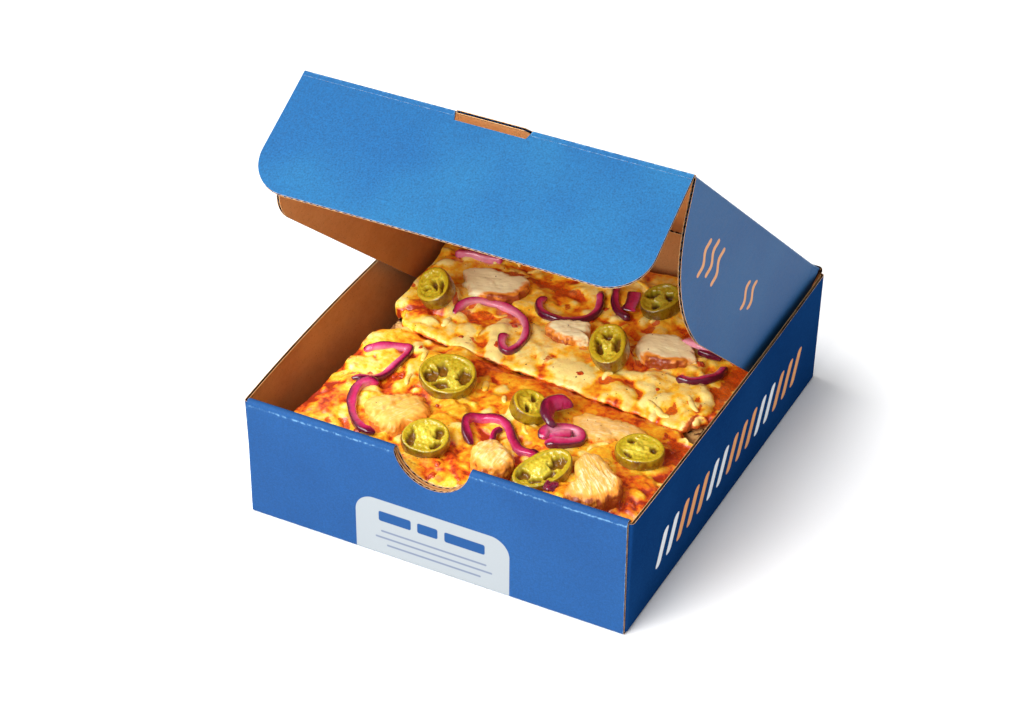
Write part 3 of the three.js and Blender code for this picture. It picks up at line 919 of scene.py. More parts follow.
def floor_and_back(carton):
    fold = carton.fold_radius
    inner_half = HALF_WIDTH - carton.board - 0.2
    corners = [(-HALF_DEPTH + 14.2, 0), (HALF_DEPTH, 0, fold), (HALF_DEPTH, FRONT_TOP - HINGE_GAP)]
    profile = Profile(corners, 1)
    flat_end, rise_start = profile.runs[0][1], profile.runs[1][0]

    def span(s):
        share = smooth_step(s, flat_end, rise_start)
        half = inner_half + (PANEL_HALF - inner_half) * share
        return -half, half

    def placed(y, z, x, depth):
        mitre = HINGE_MITRE * depth / carton.board * smooth_step(z, FRONT_TOP - 5, FRONT_TOP - 1)
        return Vector((x, y, z - mitre))

    return Board(carton, profile, span, placed, flutes="along", columns=6)


def lid_sheet(carton):
    """The lid with both side flaps, as one bent sheet whose ends follow the flaps' outlines."""
    fold = carton.fold_radius
    deep = -SIDE_FLAP_DEPTH
    half = LID_HALF_WIDTH
    profile = Profile([(-half, deep), (-half, 0, fold), (half, 0, fold), (half, deep)], -1)
    outlines = {side: curve_through(*SIDE_FLAP_CORNERS[side], 14) for side in (-1, 1)}
    back = curve_through(
        (SIDE_FLAP_START, SIDE_FLAP_DEPTH - SIDE_FLAP_BACK_CORNER),
        (SIDE_FLAP_START, SIDE_FLAP_DEPTH),
        (SIDE_FLAP_START + SIDE_FLAP_BACK_CORNER, SIDE_FLAP_DEPTH),
        8,
    )
    stations = [profile.station(1, -depth, 0) for _, depth in outlines[-1] + back]
    stations += [profile.station(1, -depth, 2) for _, depth in outlines[1] + back]
    tab = [TAB_HALF_WIDTH + 0.05, TAB_HALF_WIDTH, TAB_HALF_WIDTH - TAB_SLANT]
    stations += [profile.station(0, side * place, 1) for side in (-1, 1) for place in tab]
    panel = (profile.runs[0][1], profile.runs[2][0])
    tab_outline = ([TAB_HALF_WIDTH - TAB_SLANT, TAB_HALF_WIDTH, TAB_HALF_WIDTH + 0.04], [TAB_REACH, 0.1, 0])

    def span(s):
        a, b = profile.at(s, 0)
        lid_end = LID_LENGTH - 0.3
        if panel[0] + 0.5 < s < panel[1] - 0.5:
            return HINGE_GAP, lid_end + float(np.interp(abs(a), *tab_outline))
        side = -1 if a < 0 else 1
        edge = [(SIDE_FLAP_END, 0), *outlines[side]]
        end = np.interp(-b, [depth for _, depth in edge], [along for along, _ in edge])
        start = np.interp(-b, [depth for _, depth in back], [along for along, _ in back])
        return float(start), float(end)

    lid_up = LID_ALONG.cross(X)

    def placed(a, b, v, depth):
        sprung = 0.7 * (min(0.0, b) / SIDE_FLAP_DEPTH) ** 2 * copysign(1, a) * (v / LID_LENGTH)
        ear = 2.2 * smooth_step(v, 10, 1) * smooth_step(abs(a), half - 12, half) * smooth_step(b, -3, -0.5)
        mitre = HINGE_MITRE * depth / carton.board * smooth_step(v, 5, 1) * smooth_step(b, -4, -2)
        return HINGE + X * (a + sprung + copysign(ear, a)) + LID_ALONG * (v + mitre) + lid_up * b

    creases = [(before[1] + after[0]) / 2 for before, after in zip(profile.runs, profile.runs[1:])]
    return Board(carton, profile, span, placed, stations, creases, columns=20)


def flap_sheet(carton):
    half = FLAP_HALF_WIDTH
    slot = TAB_HALF_WIDTH + TAB_CLEARANCE
    turns = [radians(6) * n for n in range(16)]
    rounded = [half - FLAP_CORNER * (1 - sin(turn)) for turn in turns]
    places = [slot + 0.05, slot, slot - TAB_SLANT]
    profile = Profile([(-half, 0), (half, 0)], -1)
    stations = [side * place + half for side in (-1, 1) for place in rounded + places]

    def span(s):
        x = abs(s - half)
        over = max(0.0, x - (half - FLAP_CORNER))
        tip = FLAP_LENGTH - FLAP_CORNER + sqrt(max(0.0, FLAP_CORNER**2 - over**2))
        starts = [TAB_REACH + 0.3, HINGE_GAP + 0.1, HINGE_GAP]
        return float(np.interp(x, [slot - TAB_SLANT, slot, slot + 0.04], starts)), tip

    flap_up = FLAP_ALONG.cross(X)

    def placed(a, b, v, depth):
        curl = 1.2 * (v / FLAP_LENGTH) ** 2 * (a / half) ** 2
        flare = 1 + 0.012 * (v / FLAP_LENGTH) ** 2 * (a < 0)
        return FOLD + X * (a * flare) + FLAP_ALONG * v + flap_up * (b - curl)

    return Board(carton, profile, span, placed, stations, columns=12)


def divider_card(carton):
    half = CARD_HIGH.x
    fold = carton.fold_radius
    corners = [(-half, CARD_LOW.z), (-half, CARD_HIGH.z, fold), (half, CARD_HIGH.z, fold), (half, CARD_LOW.z)]
    placed = lambda x, z, y, depth: Vector((x, y, z))
    return Board(carton, Profile(corners, -1), lambda s: (CARD_LOW.y, CARD_HIGH.y), placed, columns=20)


def crease_strip(carton, before, corner, after, low, high):
    """The outer liner where it runs round a hinge crease, from one panel's face to the other's."""
    proud, reach = 0.05, 2.6
    start, end = corner - before * reach, corner + after * reach
    corners = [(start.y, start.z), (corner.y, corner.z, 0.9), (end.y, end.z)]
    placed = lambda y, z, x, depth: Vector((x, y, z))
    profile = Profile(corners, 1, step=1.0)
    profile.points = profile.points - profile.normals * proud
    strip = Board(carton, profile, lambda s: (low, high), placed, creases=[profile.length / 2], columns=24)
    strip.thickness = carton.liner + proud
    return strip


# Settings


def colour_of(label, text, *screen):
    return bpy.props.FloatVectorProperty(
        name=label, description=text, default=srgb(*screen), subtype="COLOR", size=3, min=0, max=1
    )


def number_of(label, text, default, **limits):
    return bpy.props.FloatProperty(name=label, description=text, default=default, **limits)


def length_of(label, text, default):
    return number_of(label, text + ", in millimetres", default, min=0)


def count_of(label, text, default):
    return bpy.props.IntProperty(name=label, description=text, default=default, min=0)


class CartonSettings(bpy.types.PropertyGroup):
    board: length_of("Board", "Thickness of the corrugated board", 1.5)
    liner: length_of("Liner", "Thickness of the paper on each face", 0.2)
    medium: length_of("Medium", "Thickness of the fluted paper", 0.18)
    groove: length_of("Groove", "How far a cut edge is hollow between its liners", 1.6)
    flute_pitch: length_of("Flute pitch", "Distance from flute to flute", 3.4)
    flute_step: length_of("Flute step", "Distance between points along a flute strip", 0.42)
    fold_radius: length_of("Fold radius", "Outer radius of a fold", 1.6)
    print_colour: colour_of("Print", "Blue ink of the front wall", 22, 70, 124)
    print_light: colour_of("Print, light", "Blue ink where it lies thin", 25, 75, 130)
    # The side walls take a darker copy of the blue ink: painted shade, set for the right wall, which faces
    # away from the key light.
    side_colour: colour_of("Side print", "Side wall blue, darkened as painted shade", 14, 52, 102)
    side_light: colour_of("Side print, light", "Side wall blue, darkened as painted shade where it lies thin", 18, 58, 109)
    lid_colour: colour_of("Lid print", "Blue ink of the lid", 34, 84, 136)
    lid_light: colour_of("Lid print, light", "Blue ink of the lid where it lies thin", 37, 89, 140)
    # The front flap takes a lighter, more cyan copy of the blue ink: painted sheen of the light on the tilted
    # flap.
    flap_colour: colour_of("Flap print", "Front flap blue, lightened as painted sheen", 19, 83, 134)
    flap_light: colour_of("Flap print, light", "Front flap blue, lightened as painted sheen where it lies thin", 27, 94, 140)
    scuff_colour: colour_of("Scuff", "Ink cracked at creases and cuts", 120, 168, 206)
    label_colour: colour_of("Label", "Pale printed panel", 154, 160, 164)
    mark_colour: colour_of("Marks", "Pale strokes on the side walls", 226, 230, 234)
    rule_colour: colour_of("Rules", "Thin rules on the label", 84, 98, 128)
    accent_colour: colour_of("Accent", "Orange marks", 226, 160, 108)
    kraft_colour: colour_of("Kraft", "Inner liner", 198, 138, 82)
    kraft_dark: colour_of("Kraft, dark", "Darker clouds of the inner liner", 187, 125, 70)
    kraft_fleck: colour_of("Kraft, fleck", "Dark flecks in the inner liner", 112, 66, 38)
    edge_colour: colour_of("Edge", "Torn paper at raw edges", 226, 184, 132)


class PizzaSettings(bpy.types.PropertyGroup):
    relief_step: length_of("Relief step", "Distance between points of the cheese relief", 0.62)
    shred_radius: length_of("Shred radius", "Half width of a middling cheese shred", 2.3)
    shred_count: count_of("Shreds", "Melted shreds drawn into each slice's relief", 60)
    loose_count: count_of("Loose shreds", "Separate shreds laid over the relief", 44)
    crust_colour: colour_of("Crust", "Golden crust", 226, 176, 108)
    crust_dark: colour_of("Crust, dark", "Crust in its pores", 190, 128, 66)
    crust_toast: colour_of("Crust, toasted", "Browned patches", 158, 92, 42)
    sauce_colour: colour_of("Sauce", "Tomato sauce", 220, 84, 20)
    sauce_dark: colour_of("Sauce, dark", "Sauce in hollows", 166, 46, 14)
    oil_colour: colour_of("Oil", "Cheese stained by sauce", 244, 152, 26)
    cheese_colour: colour_of("Cheese", "Melted cheese", 255, 202, 50)
    cream_colour: colour_of("Cheese, pale", "Thick melted cheese", 255, 236, 148)
    toast_colour: colour_of("Cheese, toasted", "Browned spots", 176, 92, 30)
    meat_colour: colour_of("Chicken", "Pale fibres", 252, 230, 176)
    meat_white: colour_of("Chicken, white", "Palest meat", 255, 252, 202)
    meat_dark: colour_of("Chicken, dark", "Between the fibres", 240, 188, 84)
    sear_colour: colour_of("Chicken, seared", "Golden seared face", 240, 152, 48)
    char_colour: colour_of("Chicken, brown", "Darkest sear", 160, 68, 20)
    skin_colour: colour_of("Chilli skin", "Olive skin", 104, 68, 3)
    skin_light: colour_of("Chilli skin, light", "Yellower skin", 150, 122, 12)
    flesh_colour: colour_of("Chilli flesh", "Cut wall", 186, 164, 30)
    core_colour: colour_of("Chilli core", "Seed core", 212, 196, 62)
    # The pocket colour is painted shade for the hollows beside the chilli's core.
    pocket_colour: colour_of("Chilli pocket shade", "Painted shade in the hollows between the membranes", 124, 84, 16)
    herb_colour: colour_of("Herb", "Dried herb", 140, 108, 34)
    pepper_colour: colour_of("Pepper", "Ground pepper", 128, 66, 22)
    onion_skin: colour_of("Onion skin", "Purple skin side", 92, 4, 46)
    onion_deep: colour_of("Onion, deep", "Magenta flesh", 142, 8, 66)
    onion_flesh: colour_of("Onion flesh", "Under the skin", 190, 26, 92)
    onion_pink: colour_of("Onion, pink", "Towards the inner side", 206, 66, 124)
    onion_pale: colour_of("Onion, pale", "Inner side", 234, 156, 180)


class StageSettings(bpy.types.PropertyGroup):
    lens: number_of("Lens", "Focal length", 98.37, unit="CAMERA", min=1)
    location: bpy.props.FloatVectorProperty(
        name="Place", description="Where the camera stands", default=(0.4924, -1.0030, 0.8451), unit="LENGTH"
    )
    yaw: number_of("Yaw", "Turn to the left", 0.4702, unit="ROTATION")
    pitch: number_of("Pitch", "Tilt down", 0.6184, unit="ROTATION")
    roll: number_of("Roll", "Lean", 0.0065, unit="ROTATION")
    sun: number_of("Key", "Strength of the soft key light", 2.45, min=0)
    fill: number_of("Fill", "Power of the panel at the front", 18.5, unit="POWER")
    sky: number_of("Sky", "Brightness all round", 0.49, min=0)


# Carton operators


def board_piece(name, boards, ink, body, replaces=(), fluted=True):
    """A piece of board with ink on its outer face, kraft paper on its inner one, and raw edges."""
    bm = bmesh.new()
    for board in boards:
        board.build(bm, fluted=fluted)
    papers = [bpy.data.materials[paper] for paper in PAPERS[: 3 if fluted else 2]]
    return solidified(name, bm, [ink, *papers], body, replaces, smooth=False)


def bent_across(made, first, second, corner, before, after):
    """Lets a crease turn smoothly from one body to the next."""
    start, end = corner - before * 0.8, corner + after * 0.8
    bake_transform(made, first, second, start=start * MM, end=end * MM)


class PIZZACARTON_OT_tray(bpy.types.Operator):
    """Build the tray: side walls, rolled front wall, floor and back wall"""

    bl_idname = "pizzacarton.tray"
    bl_label = "Tray"

    def execute(self, context):
        carton = context.scene.pizza_carton
        for paper in (kraft_board, raw_edge, shaded_flutes):
            paper(carton)
        front = printed_board("front print", carton, carton.print_colour, carton.print_light, front_label)
        # Side walls: a darker copy of the blue, as painted shade.
        inks = (carton.side_colour, carton.side_light)
        side = printed_board("side print", carton, *inks, side_dashes, "z", sheen=0.0)
        plain = printed_board("plain print", carton, carton.print_colour, carton.print_light)
        board_piece("tray_wall_left", [side_wall(carton, -1)], side, "root", ["tray"])
        board_piece("tray_wall_right", [side_wall(carton, 1)], side, "root", ["tray"])
        board_piece("tray_front", [front_wall(carton)], front, "root", ["tray"])
        board_piece("tray_floor", [floor_and_back(carton)], plain, "root", ["tray"])
        return {"FINISHED"}


class PIZZACARTON_OT_lid(bpy.types.Operator):
    """Build the lid, its flaps and the creases they turn on"""

    bl_idname = "pizzacarton.lid"
    bl_label = "Lid"

    def execute(self, context):
        carton = context.scene.pizza_carton
        # Front flap and its crease: a lighter copy of the blue, as painted sheen.
        plain = printed_board("flap print", carton, carton.flap_colour, carton.flap_light, speckle=0.55)
        marked = printed_board("lid print", carton, carton.lid_colour, carton.lid_light, steam_marks)
        board_piece("lid_board", [lid_sheet(carton)], marked, "lid", ["lid"])
        board_piece("front_flap_board", [flap_sheet(carton)], plain, "front_flap", ["front_flap"])
        slot = TAB_HALF_WIDTH + TAB_CLEARANCE
        halves = [(-FLAP_HALF_WIDTH, -slot), (slot, FLAP_HALF_WIDTH)]
        strips = [crease_strip(carton, LID_ALONG, FOLD, FLAP_ALONG, *half) for half in halves]
        made = board_piece("flap_crease", strips, plain, None, fluted=False)
        bent_across(made, "lid", "front_flap", FOLD, LID_ALONG, FLAP_ALONG)
        strip = crease_strip(carton, UP, HINGE, LID_ALONG, -LID_HALF_WIDTH + 1.6, LID_HALF_WIDTH - 1.6)
        made = board_piece("lid_crease", [strip], marked, None, fluted=False)
        bent_across(made, "root", "lid", HINGE, UP, LID_ALONG)
        return {"FINISHED"}


class PIZZACARTON_OT_divider(bpy.types.Operator):
    """Build the card that carries the slices"""

    bl_idname = "pizzacarton.divider"
    bl_label = "Divider card"

    def execute(self, context):
        carton = context.scene.pizza_carton
        kraft = bpy.data.materials[PAPERS[0]]
        card = [divider_card(carton)]
        board_piece("card_board", card, kraft, "root", ["divider_card"])
        return {"FINISHED"}


# Slices

CHEESE = ("melted_cheese_front", "melted_cheese_rear")
SKIRT = 9
SLICE_CORNER = 7.0
UNDER_CHEESE = 1.6

# Bits of tomato and dark onion that stand out
TOMATO_BITS = ((-22, -92), (-8, -95), (-7, -103), (6, -100), (-58, -38), (-61, -40), (-30, -54), (86, -80))
DARK_BITS = ((77, -85), (75, -89), (49, -91))

# How far the cheese hangs out and runs down at the left, front, right and back edge of a slice
OVERHANG = {
    "front": {"left": (0.2, 4.5), "front": (1.6, 2.5), "right": (1.2, 3.0), "back": (-0.6, 3.5)},
    "rear": {"left": (0.2, 6.0), "front": (2.4, 1.6), "right": (1.2, 3.0), "back": (2.0, 5.0)},
}

# Parts of the cheese that have melted flat: from x, to x, from y, to y
CALM = ((-36, 36, -24, -6), (30, 74, -34, -16), (4, 32, -8, 14))

# Melted shreds and lumps that stand out: points, radius, how pale, how far they lie proud
PLACED_STRANDS = {
    "front": (
        (((-15, -63), (-12, -74), (-5, -86), (4, -96), (8, -101)), 3, 0.34, 1),
        (((80, -80), (77, -70), (78, -62), (85, -61), (90, -68), (89, -80)), 2.3, 0.66, 0.8),
        (((80, -56), (85, -50), (88, -42)), 2.2, 0.72, 0.8),
        (((83, -72), (84, -81), (90, -86)), 2.1, 0.62, 0.7),
        (((84, -57), (87, -60), (90, -58)), 1.8, 0.9, 1),
        (((-83, -84), (-80, -75), (-79, -61)), 2.6, 0.58, 0.5),
        (((-73, -73), (-70, -84), (-64, -90)), 2.3, 0.52, 0.4),
        (((-58, -31), (-54, -36), (-51, -42)), 2.5, 0.98, 0.7),
        (((-32, -48), (-26, -48), (-20, -54), (-22, -60)), 2, 0.66, 0.8),
        (((-80, -32), (-74, -38), (-70, -30)), 2.6, 0.84, 0.6),
        (((-86, -50), (-80, -45), (-77, -38)), 2, 0.74, 0.5),
        (((-24, -96), (-17, -94), (-9, -93), (-3, -97)), 2.6, 0.55, 0.7),
        (((-30, -101), (-22, -103), (-12, -102)), 2.3, 0.48, 0.4),
        (((28, -66), (34, -63), (40, -66)), 2, 0.62, 0.4),
        (((60, -56), (66, -60), (64, -66)), 1.9, 0.7, 0.3),
    ),
    "rear": (
        (((-33, 24), (-30, 11), (-25, -3), (-22, -9)), 4.6, 1.25, 1.6),
        (((-45, 0), (-38, -4), (-31, -11)), 3.6, 0.92, 0.9),
        (((-61, 11), (-55, 8), (-52, 2)), 3.4, 0.96, 0.8),
        (((-48, 12), (-44, 7), (-40, 10)), 2.8, 0.94, 0.8),
        (((-75, -6), (-68, -1), (-61, 0)), 3.3, 0.66, 0.9),
        (((-70, -8), (-64, -9), (-57, -9)), 2.5, 0.6, 0.6),
        (((-57, -3), (-52, -8), (-47, -10)), 2.2, 0.72, 0.7),
        (((38, 8), (46, 11), (54, 16)), 4.8, 0.86, 2), (((67, 3), (63, -4), (65, -10)), 3.4, 1.1, 1.6),
        (((55, 5), (58, 0), (57, -8)), 3, 1.05, 1.4),
        (((76, 18), (82, 10), (86, 2), (88, -6)), 3.4, 0.92, 1.8),
        (((59, 17), (66, 15), (73, 10)), 2.5, 0.88, 0.8), (((72, 2), (78, -4), (86, -8)), 2.2, 0.74, 0.7),
        (((-21, 26), (-14, 22), (-8, 15)), 3, 0.9, 0.7), (((-14, 2), (-6, -4), (4, -12)), 3.4, 0.9, 0.6),
        (((-12, 12), (-6, 8), (-2, 2)), 2.6, 0.84, 0.5),
        (((38, -8), (46, -6), (52, -11)), 2.6, 0.78, 0.6),
        (((-80, 44), (-74, 50), (-70, 58)), 3.2, 0.7, 0.6),
        (((20, 36), (27, 33), (33, 28)), 2.6, 0.8, 0.5), (((30, 46), (38, 45), (44, 50)), 2.4, 0.84, 0.5),
    ),
}
PLACED_LUMPS = {
    "front": (
        ((-4, -18), (16, 6.5), -6, 0.5, 0.5), ((30, -20), (20, 6), -6, 0.48, 0.5),
        ((70, -24), (9, 5), -20, 0.62, 0.8), ((-76, -26), (7, 4), 30, 0.74, 1.2),
        ((-14, -95), (9, 6), 10, 0.62, 1.6), ((-20, -28), (9, 6), 20, 0.6, 1),
    ),
    "rear": (
        ((17, 2), (14, 10), -12, 0.93, 1.7), ((-80, 16), (5, 4), 10, 0.34, 1.8),
        ((-74, 10), (6, 4.5), 40, 0.3, 1.9), ((-82, 6), (4.5, 3.5), -20, 0.4, 1.6),
        ((-70, -4), (8, 6), -10, 0.58, 2.4), ((-56, 0), (7, 6), 0, 0.62, 1.4),
        ((46, -4), (9, 5), -15, 0.7, 1.2), ((74, 8), (7, 6), 10, 0.72, 1),
        ((-10, 14), (13, 8), -15, 0.8, 0.8),
    ),
}
# Where the cheese is redder or paler than elsewhere: place, radius, how much
TINTS = {
    "front": (
        ((84, -72), 20, -0.5), ((-82, -72), 19, -0.42), ((-8, -94), 16, -0.22), ((89, -34), 12, -0.5),
        ((50, -94), 14, -0.2), ((-60, -36), 12, 0.12),
    ),
    "rear": (
        ((-79, 12), 13, -0.3), ((-72, -6), 9, -0.1), ((90, -2), 10, -0.4), ((-30, 4), 22, 0.12),
        ((16, 2), 16, 0.1), ((60, 0), 14, 0.1),
    ),
}
# Sauce that shows, or cheese that has browned: points, radius, layer, level
PLACED_WASHES = {
    "front": (
        (((78, -28), (88, -27), (92, -38), (86, -42)), 4.6, "sauce", 1),
        (((-62, -42), (-61, -50)), 2.2, "sauce", 0.8), (((-79, -76), (-78, -68)), 2.4, "sauce", 0.9),
        (((-70, -88), (-64, -84), (-60, -92)), 3.2, "sauce", 0.9),
        (((76, -92), (82, -98), (90, -96)), 4, "sauce", 0.9),
        (((-90, -60), (-88, -40), (-88, -20)), 2.6, "sauce", 0.55),
        (((28, -62), (34, -70)), 2.2, "sauce", 0.6), (((-34, -100), (0, -102)), 3.5, "toast", 0.7),
    ),
    "rear": (
        (((-84, 10), (-79, 18), (-68, 15)), 6.5, "sauce", 0.45),
        (((87, -12), (88, 10), (88, 44)), 6, "sauce", 0.85),
        (((-34, 2), (-40, 2), (-45, 8)), 2.4, "sauce", 0.8), (((-6, 3), (1, 9), (0, 1)), 3, "sauce", 0.6),
        (((32, 0), (42, 2), (52, -2)), 3.2, "sauce", 0.8),
        (((72, -6), (78, 4), (84, 18)), 3.8, "sauce", 0.75), (((40, 22), (46, 24)), 3, "sauce", 0.8),
        (((-62, 22), (-52, 20), (-44, 24)), 3.6, "sauce", 0.75),
        (((-56, 56), (-36, 62), (-10, 60)), 5, "sauce", 0.8), (((12, 46), (18, 40)), 3, "sauce", 0.8),
        (((56, 56), (70, 60), (84, 62)), 6, "sauce", 0.85),
    ),
}


def slice_place(corners, across, along):
    """A place on a slice, from 0 to 1 across and along it."""
    front_left, front_right, back_right, back_left = (np.array(corner, float) for corner in corners)
    across, along = np.asarray(across)[..., None], np.asarray(along)[..., None]
    front = front_left * (1 - across) + front_right * across
    back = back_left * (1 - across) + back_right * across
    return front * (1 - along) + back * along


def blurred(values, reach):
    """Averages over a square of grid points."""
    for axis in (0, 1):
        margin = [(0, 0), (0, 0)]
        margin[axis] = (reach + 1, reach)
        sums = np.cumsum(np.pad(values, margin, mode="edge"), axis=axis)
        ahead = np.take(sums, range(2 * reach + 1, sums.shape[axis]), axis)
        behind = np.take(sums, range(sums.shape[axis] - 2 * reach - 1), axis)
        values = (ahead - behind) / (2 * reach + 1)
    return values


class Relief:
    """The top of a slice as a height map, with how pale, saucy and browned it is at each point."""

    def __init__(self, x, y, corners, seed):
        self.x, self.y = x, y
        self.corners = corners
        self.draw = random.Random(seed)
        self.height = rough(x, y, (0.9, 15, seed), (0.4, 5.5, seed + 1), (0.2, 2, seed + 2))
        self.melt = 0.22 + 0.14 * field(x, y, 6, seed + 3)
        self.sauce = np.zeros(x.shape)
        self.toast = np.zeros(x.shape)

    def index(self, place):
        """The grid row and column nearest to a place."""
        front_left, front_right, back_right, back_left = self.corners
        across = (place[0] - front_left[0]) / (front_right[0] - front_left[0])
        low = front_left[1] + (front_right[1] - front_left[1]) * across
        high = back_left[1] + (back_right[1] - back_left[1]) * across
        along = (place[1] - low) / (high - low)
        last = [size - 1 for size in self.x.shape]
        return tuple(min(max(round(share * end), 0), end) for share, end in zip((along, across), last))

    def window(self, points, reach):
        low, high = np.min(points, axis=0) - reach, np.max(points, axis=0) + reach
        rows, columns = zip(*(self.index((x, y)) for x in (low[0], high[0]) for y in (low[1], high[1])))
        return slice(min(rows), max(rows) + 1), slice(min(columns), max(columns) + 1)

    def nearest(self, area, points):
        """Distance to a line of points, and how far along it that is, from 0 to 1."""
        x, y = self.x[area], self.y[area]
        best, share = np.full(x.shape, 1e6), np.zeros(x.shape)
        for index, (a, b) in enumerate(zip(points, points[1:])):
            dx, dy = b[0] - a[0], b[1] - a[1]
            t = np.clip(((x - a[0]) * dx + (y - a[1]) * dy) / (dx * dx + dy * dy + 1e-9), 0, 1)
            distance = np.hypot(x - a[0] - t * dx, y - a[1] - t * dy)
            near = distance < best
            best = np.where(near, distance, best)
            share = np.where(near, (index + t) / (len(points) - 1), share)
        return best, share

    def lay(self, area, top, inside, melt, soft):
        """Raises the surface to top with a soft join, and colours what it raised."""
        now = self.height[area]
        share = np.clip(0.5 + 0.5 * (top - now) / soft, 0, 1)
        joined = now * (1 - share) + top * share + soft * share * (1 - share)
        self.height[area] = np.where(inside, np.maximum(joined, now), now)
        won = np.where(inside, share, 0)
        self.melt[area] = self.melt[area] * (1 - won) + melt * won
        self.sauce[area] *= 1 - won
        self.toast[area] *= 1 - won

    def strand(self, points, radius, melt, proud=0.4):
        points = np.asarray(points, float)
        area = self.window(points, radius + 1)
        distance, share = self.nearest(area, points)
        swell = 0.12 * field(share * 40, share * 0 + radius, 9, int(radius * 97))
        reach = radius * (0.62 + 0.38 * np.sqrt(np.sin(np.pi * np.clip(share, 0.03, 0.97))) + swell)
        x, y = self.x[area], self.y[area]
        distance = distance + radius * rough(x, y, (0.3, 3.1, 76), (0.18, 1.4, 77))
        dome = np.sqrt(np.clip(1 - (distance / reach) ** 2, 0, 1)) * reach * 0.55
        bed = np.array([self.height[self.index(point)] for point in points])
        bed = 0.5 * bed + 0.5 * bed.mean()
        level = np.interp(share, np.linspace(0, 1, len(points)), bed)
        tone = melt - 0.16 * smooth_step(distance / reach, 0.5, 1)
        self.lay(area, level + dome - 0.4 * radius + 0.6 * proud, distance < reach, tone, 0.9)

    def lump(self, centre, radii, turn, melt, rise, soft=0.7):
        area = self.window([centre], max(radii) * 1.3)
        ragged = rough(self.x[area], self.y[area], (0.22, 3.6, 71), (0.12, 1.7, 72))
        x, y = self.x[area] - centre[0], self.y[area] - centre[1]
        cosine, sine = cos(radians(turn)), sin(radians(turn))
        u, v = (x * cosine + y * sine) / radii[0], (y * cosine - x * sine) / radii[1]
        distance = np.hypot(u, v) + ragged
        dome = np.sqrt(np.clip(1 - distance**2, 0, 1)) * rise
        level = float(np.mean([self.height[self.index((centre[0] + d, centre[1]))] for d in (-2, 0, 2)]))
        tone = melt - 0.14 * smooth_step(distance, 0.55, 1)
        self.lay(area, level + dome - 0.15 * rise, distance < 1, tone, soft)

    def wash(self, points, radius, layer, level):
        points = np.asarray(points, float)
        area = self.window(points, radius * 1.4)
        distance, _ = self.nearest(area, points)
        distance += radius * 0.35 * field(self.x[area], self.y[area], 3.2, 73)
        cover = level * smooth_step(distance, radius * 1.1, radius * 0.4)
        values = getattr(self, layer)
        values[area] = np.maximum(values[area], cover)
        if layer == "sauce":
            self.height[area] -= 0.7 * cover

    def prop(self, centre, radius, level, slope):
        """Fills up to the underside of a topping that stands off the cheese."""
        area = self.window([centre], radius * 1.2)
        x, y = self.x[area] - centre[0], self.y[area] - centre[1]
        distance = np.hypot(x, y) + 1.2 * field(self.x[area], self.y[area], 4, 74)
        share = smooth_step(distance, radius * 1.1, radius * 0.75)
        plane = level + slope[0] * x + slope[1] * y
        gap = np.clip(plane - self.height[area], 0, 7)
        self.height[area] += gap * share

    def wander(self, start, heading, length, curl):
        """A short curved line of points."""
        points = [start]
        for _ in range(5):
            heading += curl + self.draw.uniform(-0.22, 0.22)
            x, y = points[-1]
            points.append((x + cos(heading) * length / 5, y + sin(heading) * length / 5))
        return points

    def somewhere(self):
        """A place drawn at random, outside the calm parts."""
        while True:
            x, y = slice_place(self.corners, self.draw.uniform(0, 1), self.draw.uniform(0, 1)).tolist()
            if not any(low < x < high and front < y < back for low, high, front, back in CALM):
                return x, y

    def bake(self, name, count, radius):
        draw = self.draw
        for _ in range(120):
            size = draw.uniform(5, 13)
            melt = draw.choice([0.46, 0.55, 0.64, 0.74, 0.86])
            radii = (size, size * draw.uniform(0.5, 0.9))
            self.lump(self.somewhere(), radii, draw.uniform(0, 180), melt, draw.uniform(0.8, 2.2), 1.4)
        for _ in range(count):
            start = self.somewhere()
            length = draw.uniform(7, 20)
            line = self.wander(start, draw.uniform(0, 2 * pi), length, draw.uniform(-0.3, 0.3))
            thick = radius * draw.uniform(0.7, 1.5)
            self.strand(line, thick, draw.choice([0.52, 0.62, 0.72, 0.84, 0.96]), draw.uniform(-0.9, -0.1))
        for _ in range(90):
            size = draw.uniform(2.2, 5.2)
            radii = (size, size * draw.uniform(0.6, 1))
            melt = draw.choice([0.55, 0.72, 0.9, 1.0])
            self.lump(self.somewhere(), radii, draw.uniform(0, 180), melt, draw.uniform(0.8, 1.9), 0.5)
        for _ in range(30):
            line = self.wander(self.somewhere(), draw.uniform(0, 6.3), draw.uniform(2, 10), 0.2)
            self.wash(line, draw.uniform(1.4, 3.4), "sauce", draw.uniform(0.4, 0.9))
        for points, thick, layer, level in PLACED_WASHES[name]:
            self.wash(points, thick, layer, level)
        for lump in PLACED_LUMPS[name]:
            self.lump(*lump)
        for points, thick, melt, proud in PLACED_STRANDS[name]:
            line = [(p.x, p.y) for p in spline([(*point, 0) for point in points], 12)]
            self.strand(line, thick, melt, proud)
        for patch in TINTS[name]:
            self.tint(*patch)
        self.settle()

    def tint(self, centre, radius, shift):
        x, y = self.x, self.y
        distance = np.hypot(x - centre[0], y - centre[1]) + 0.3 * radius * field(x, y, 6, 75)
        self.melt += shift * smooth_step(distance, radius, radius * 0.4)

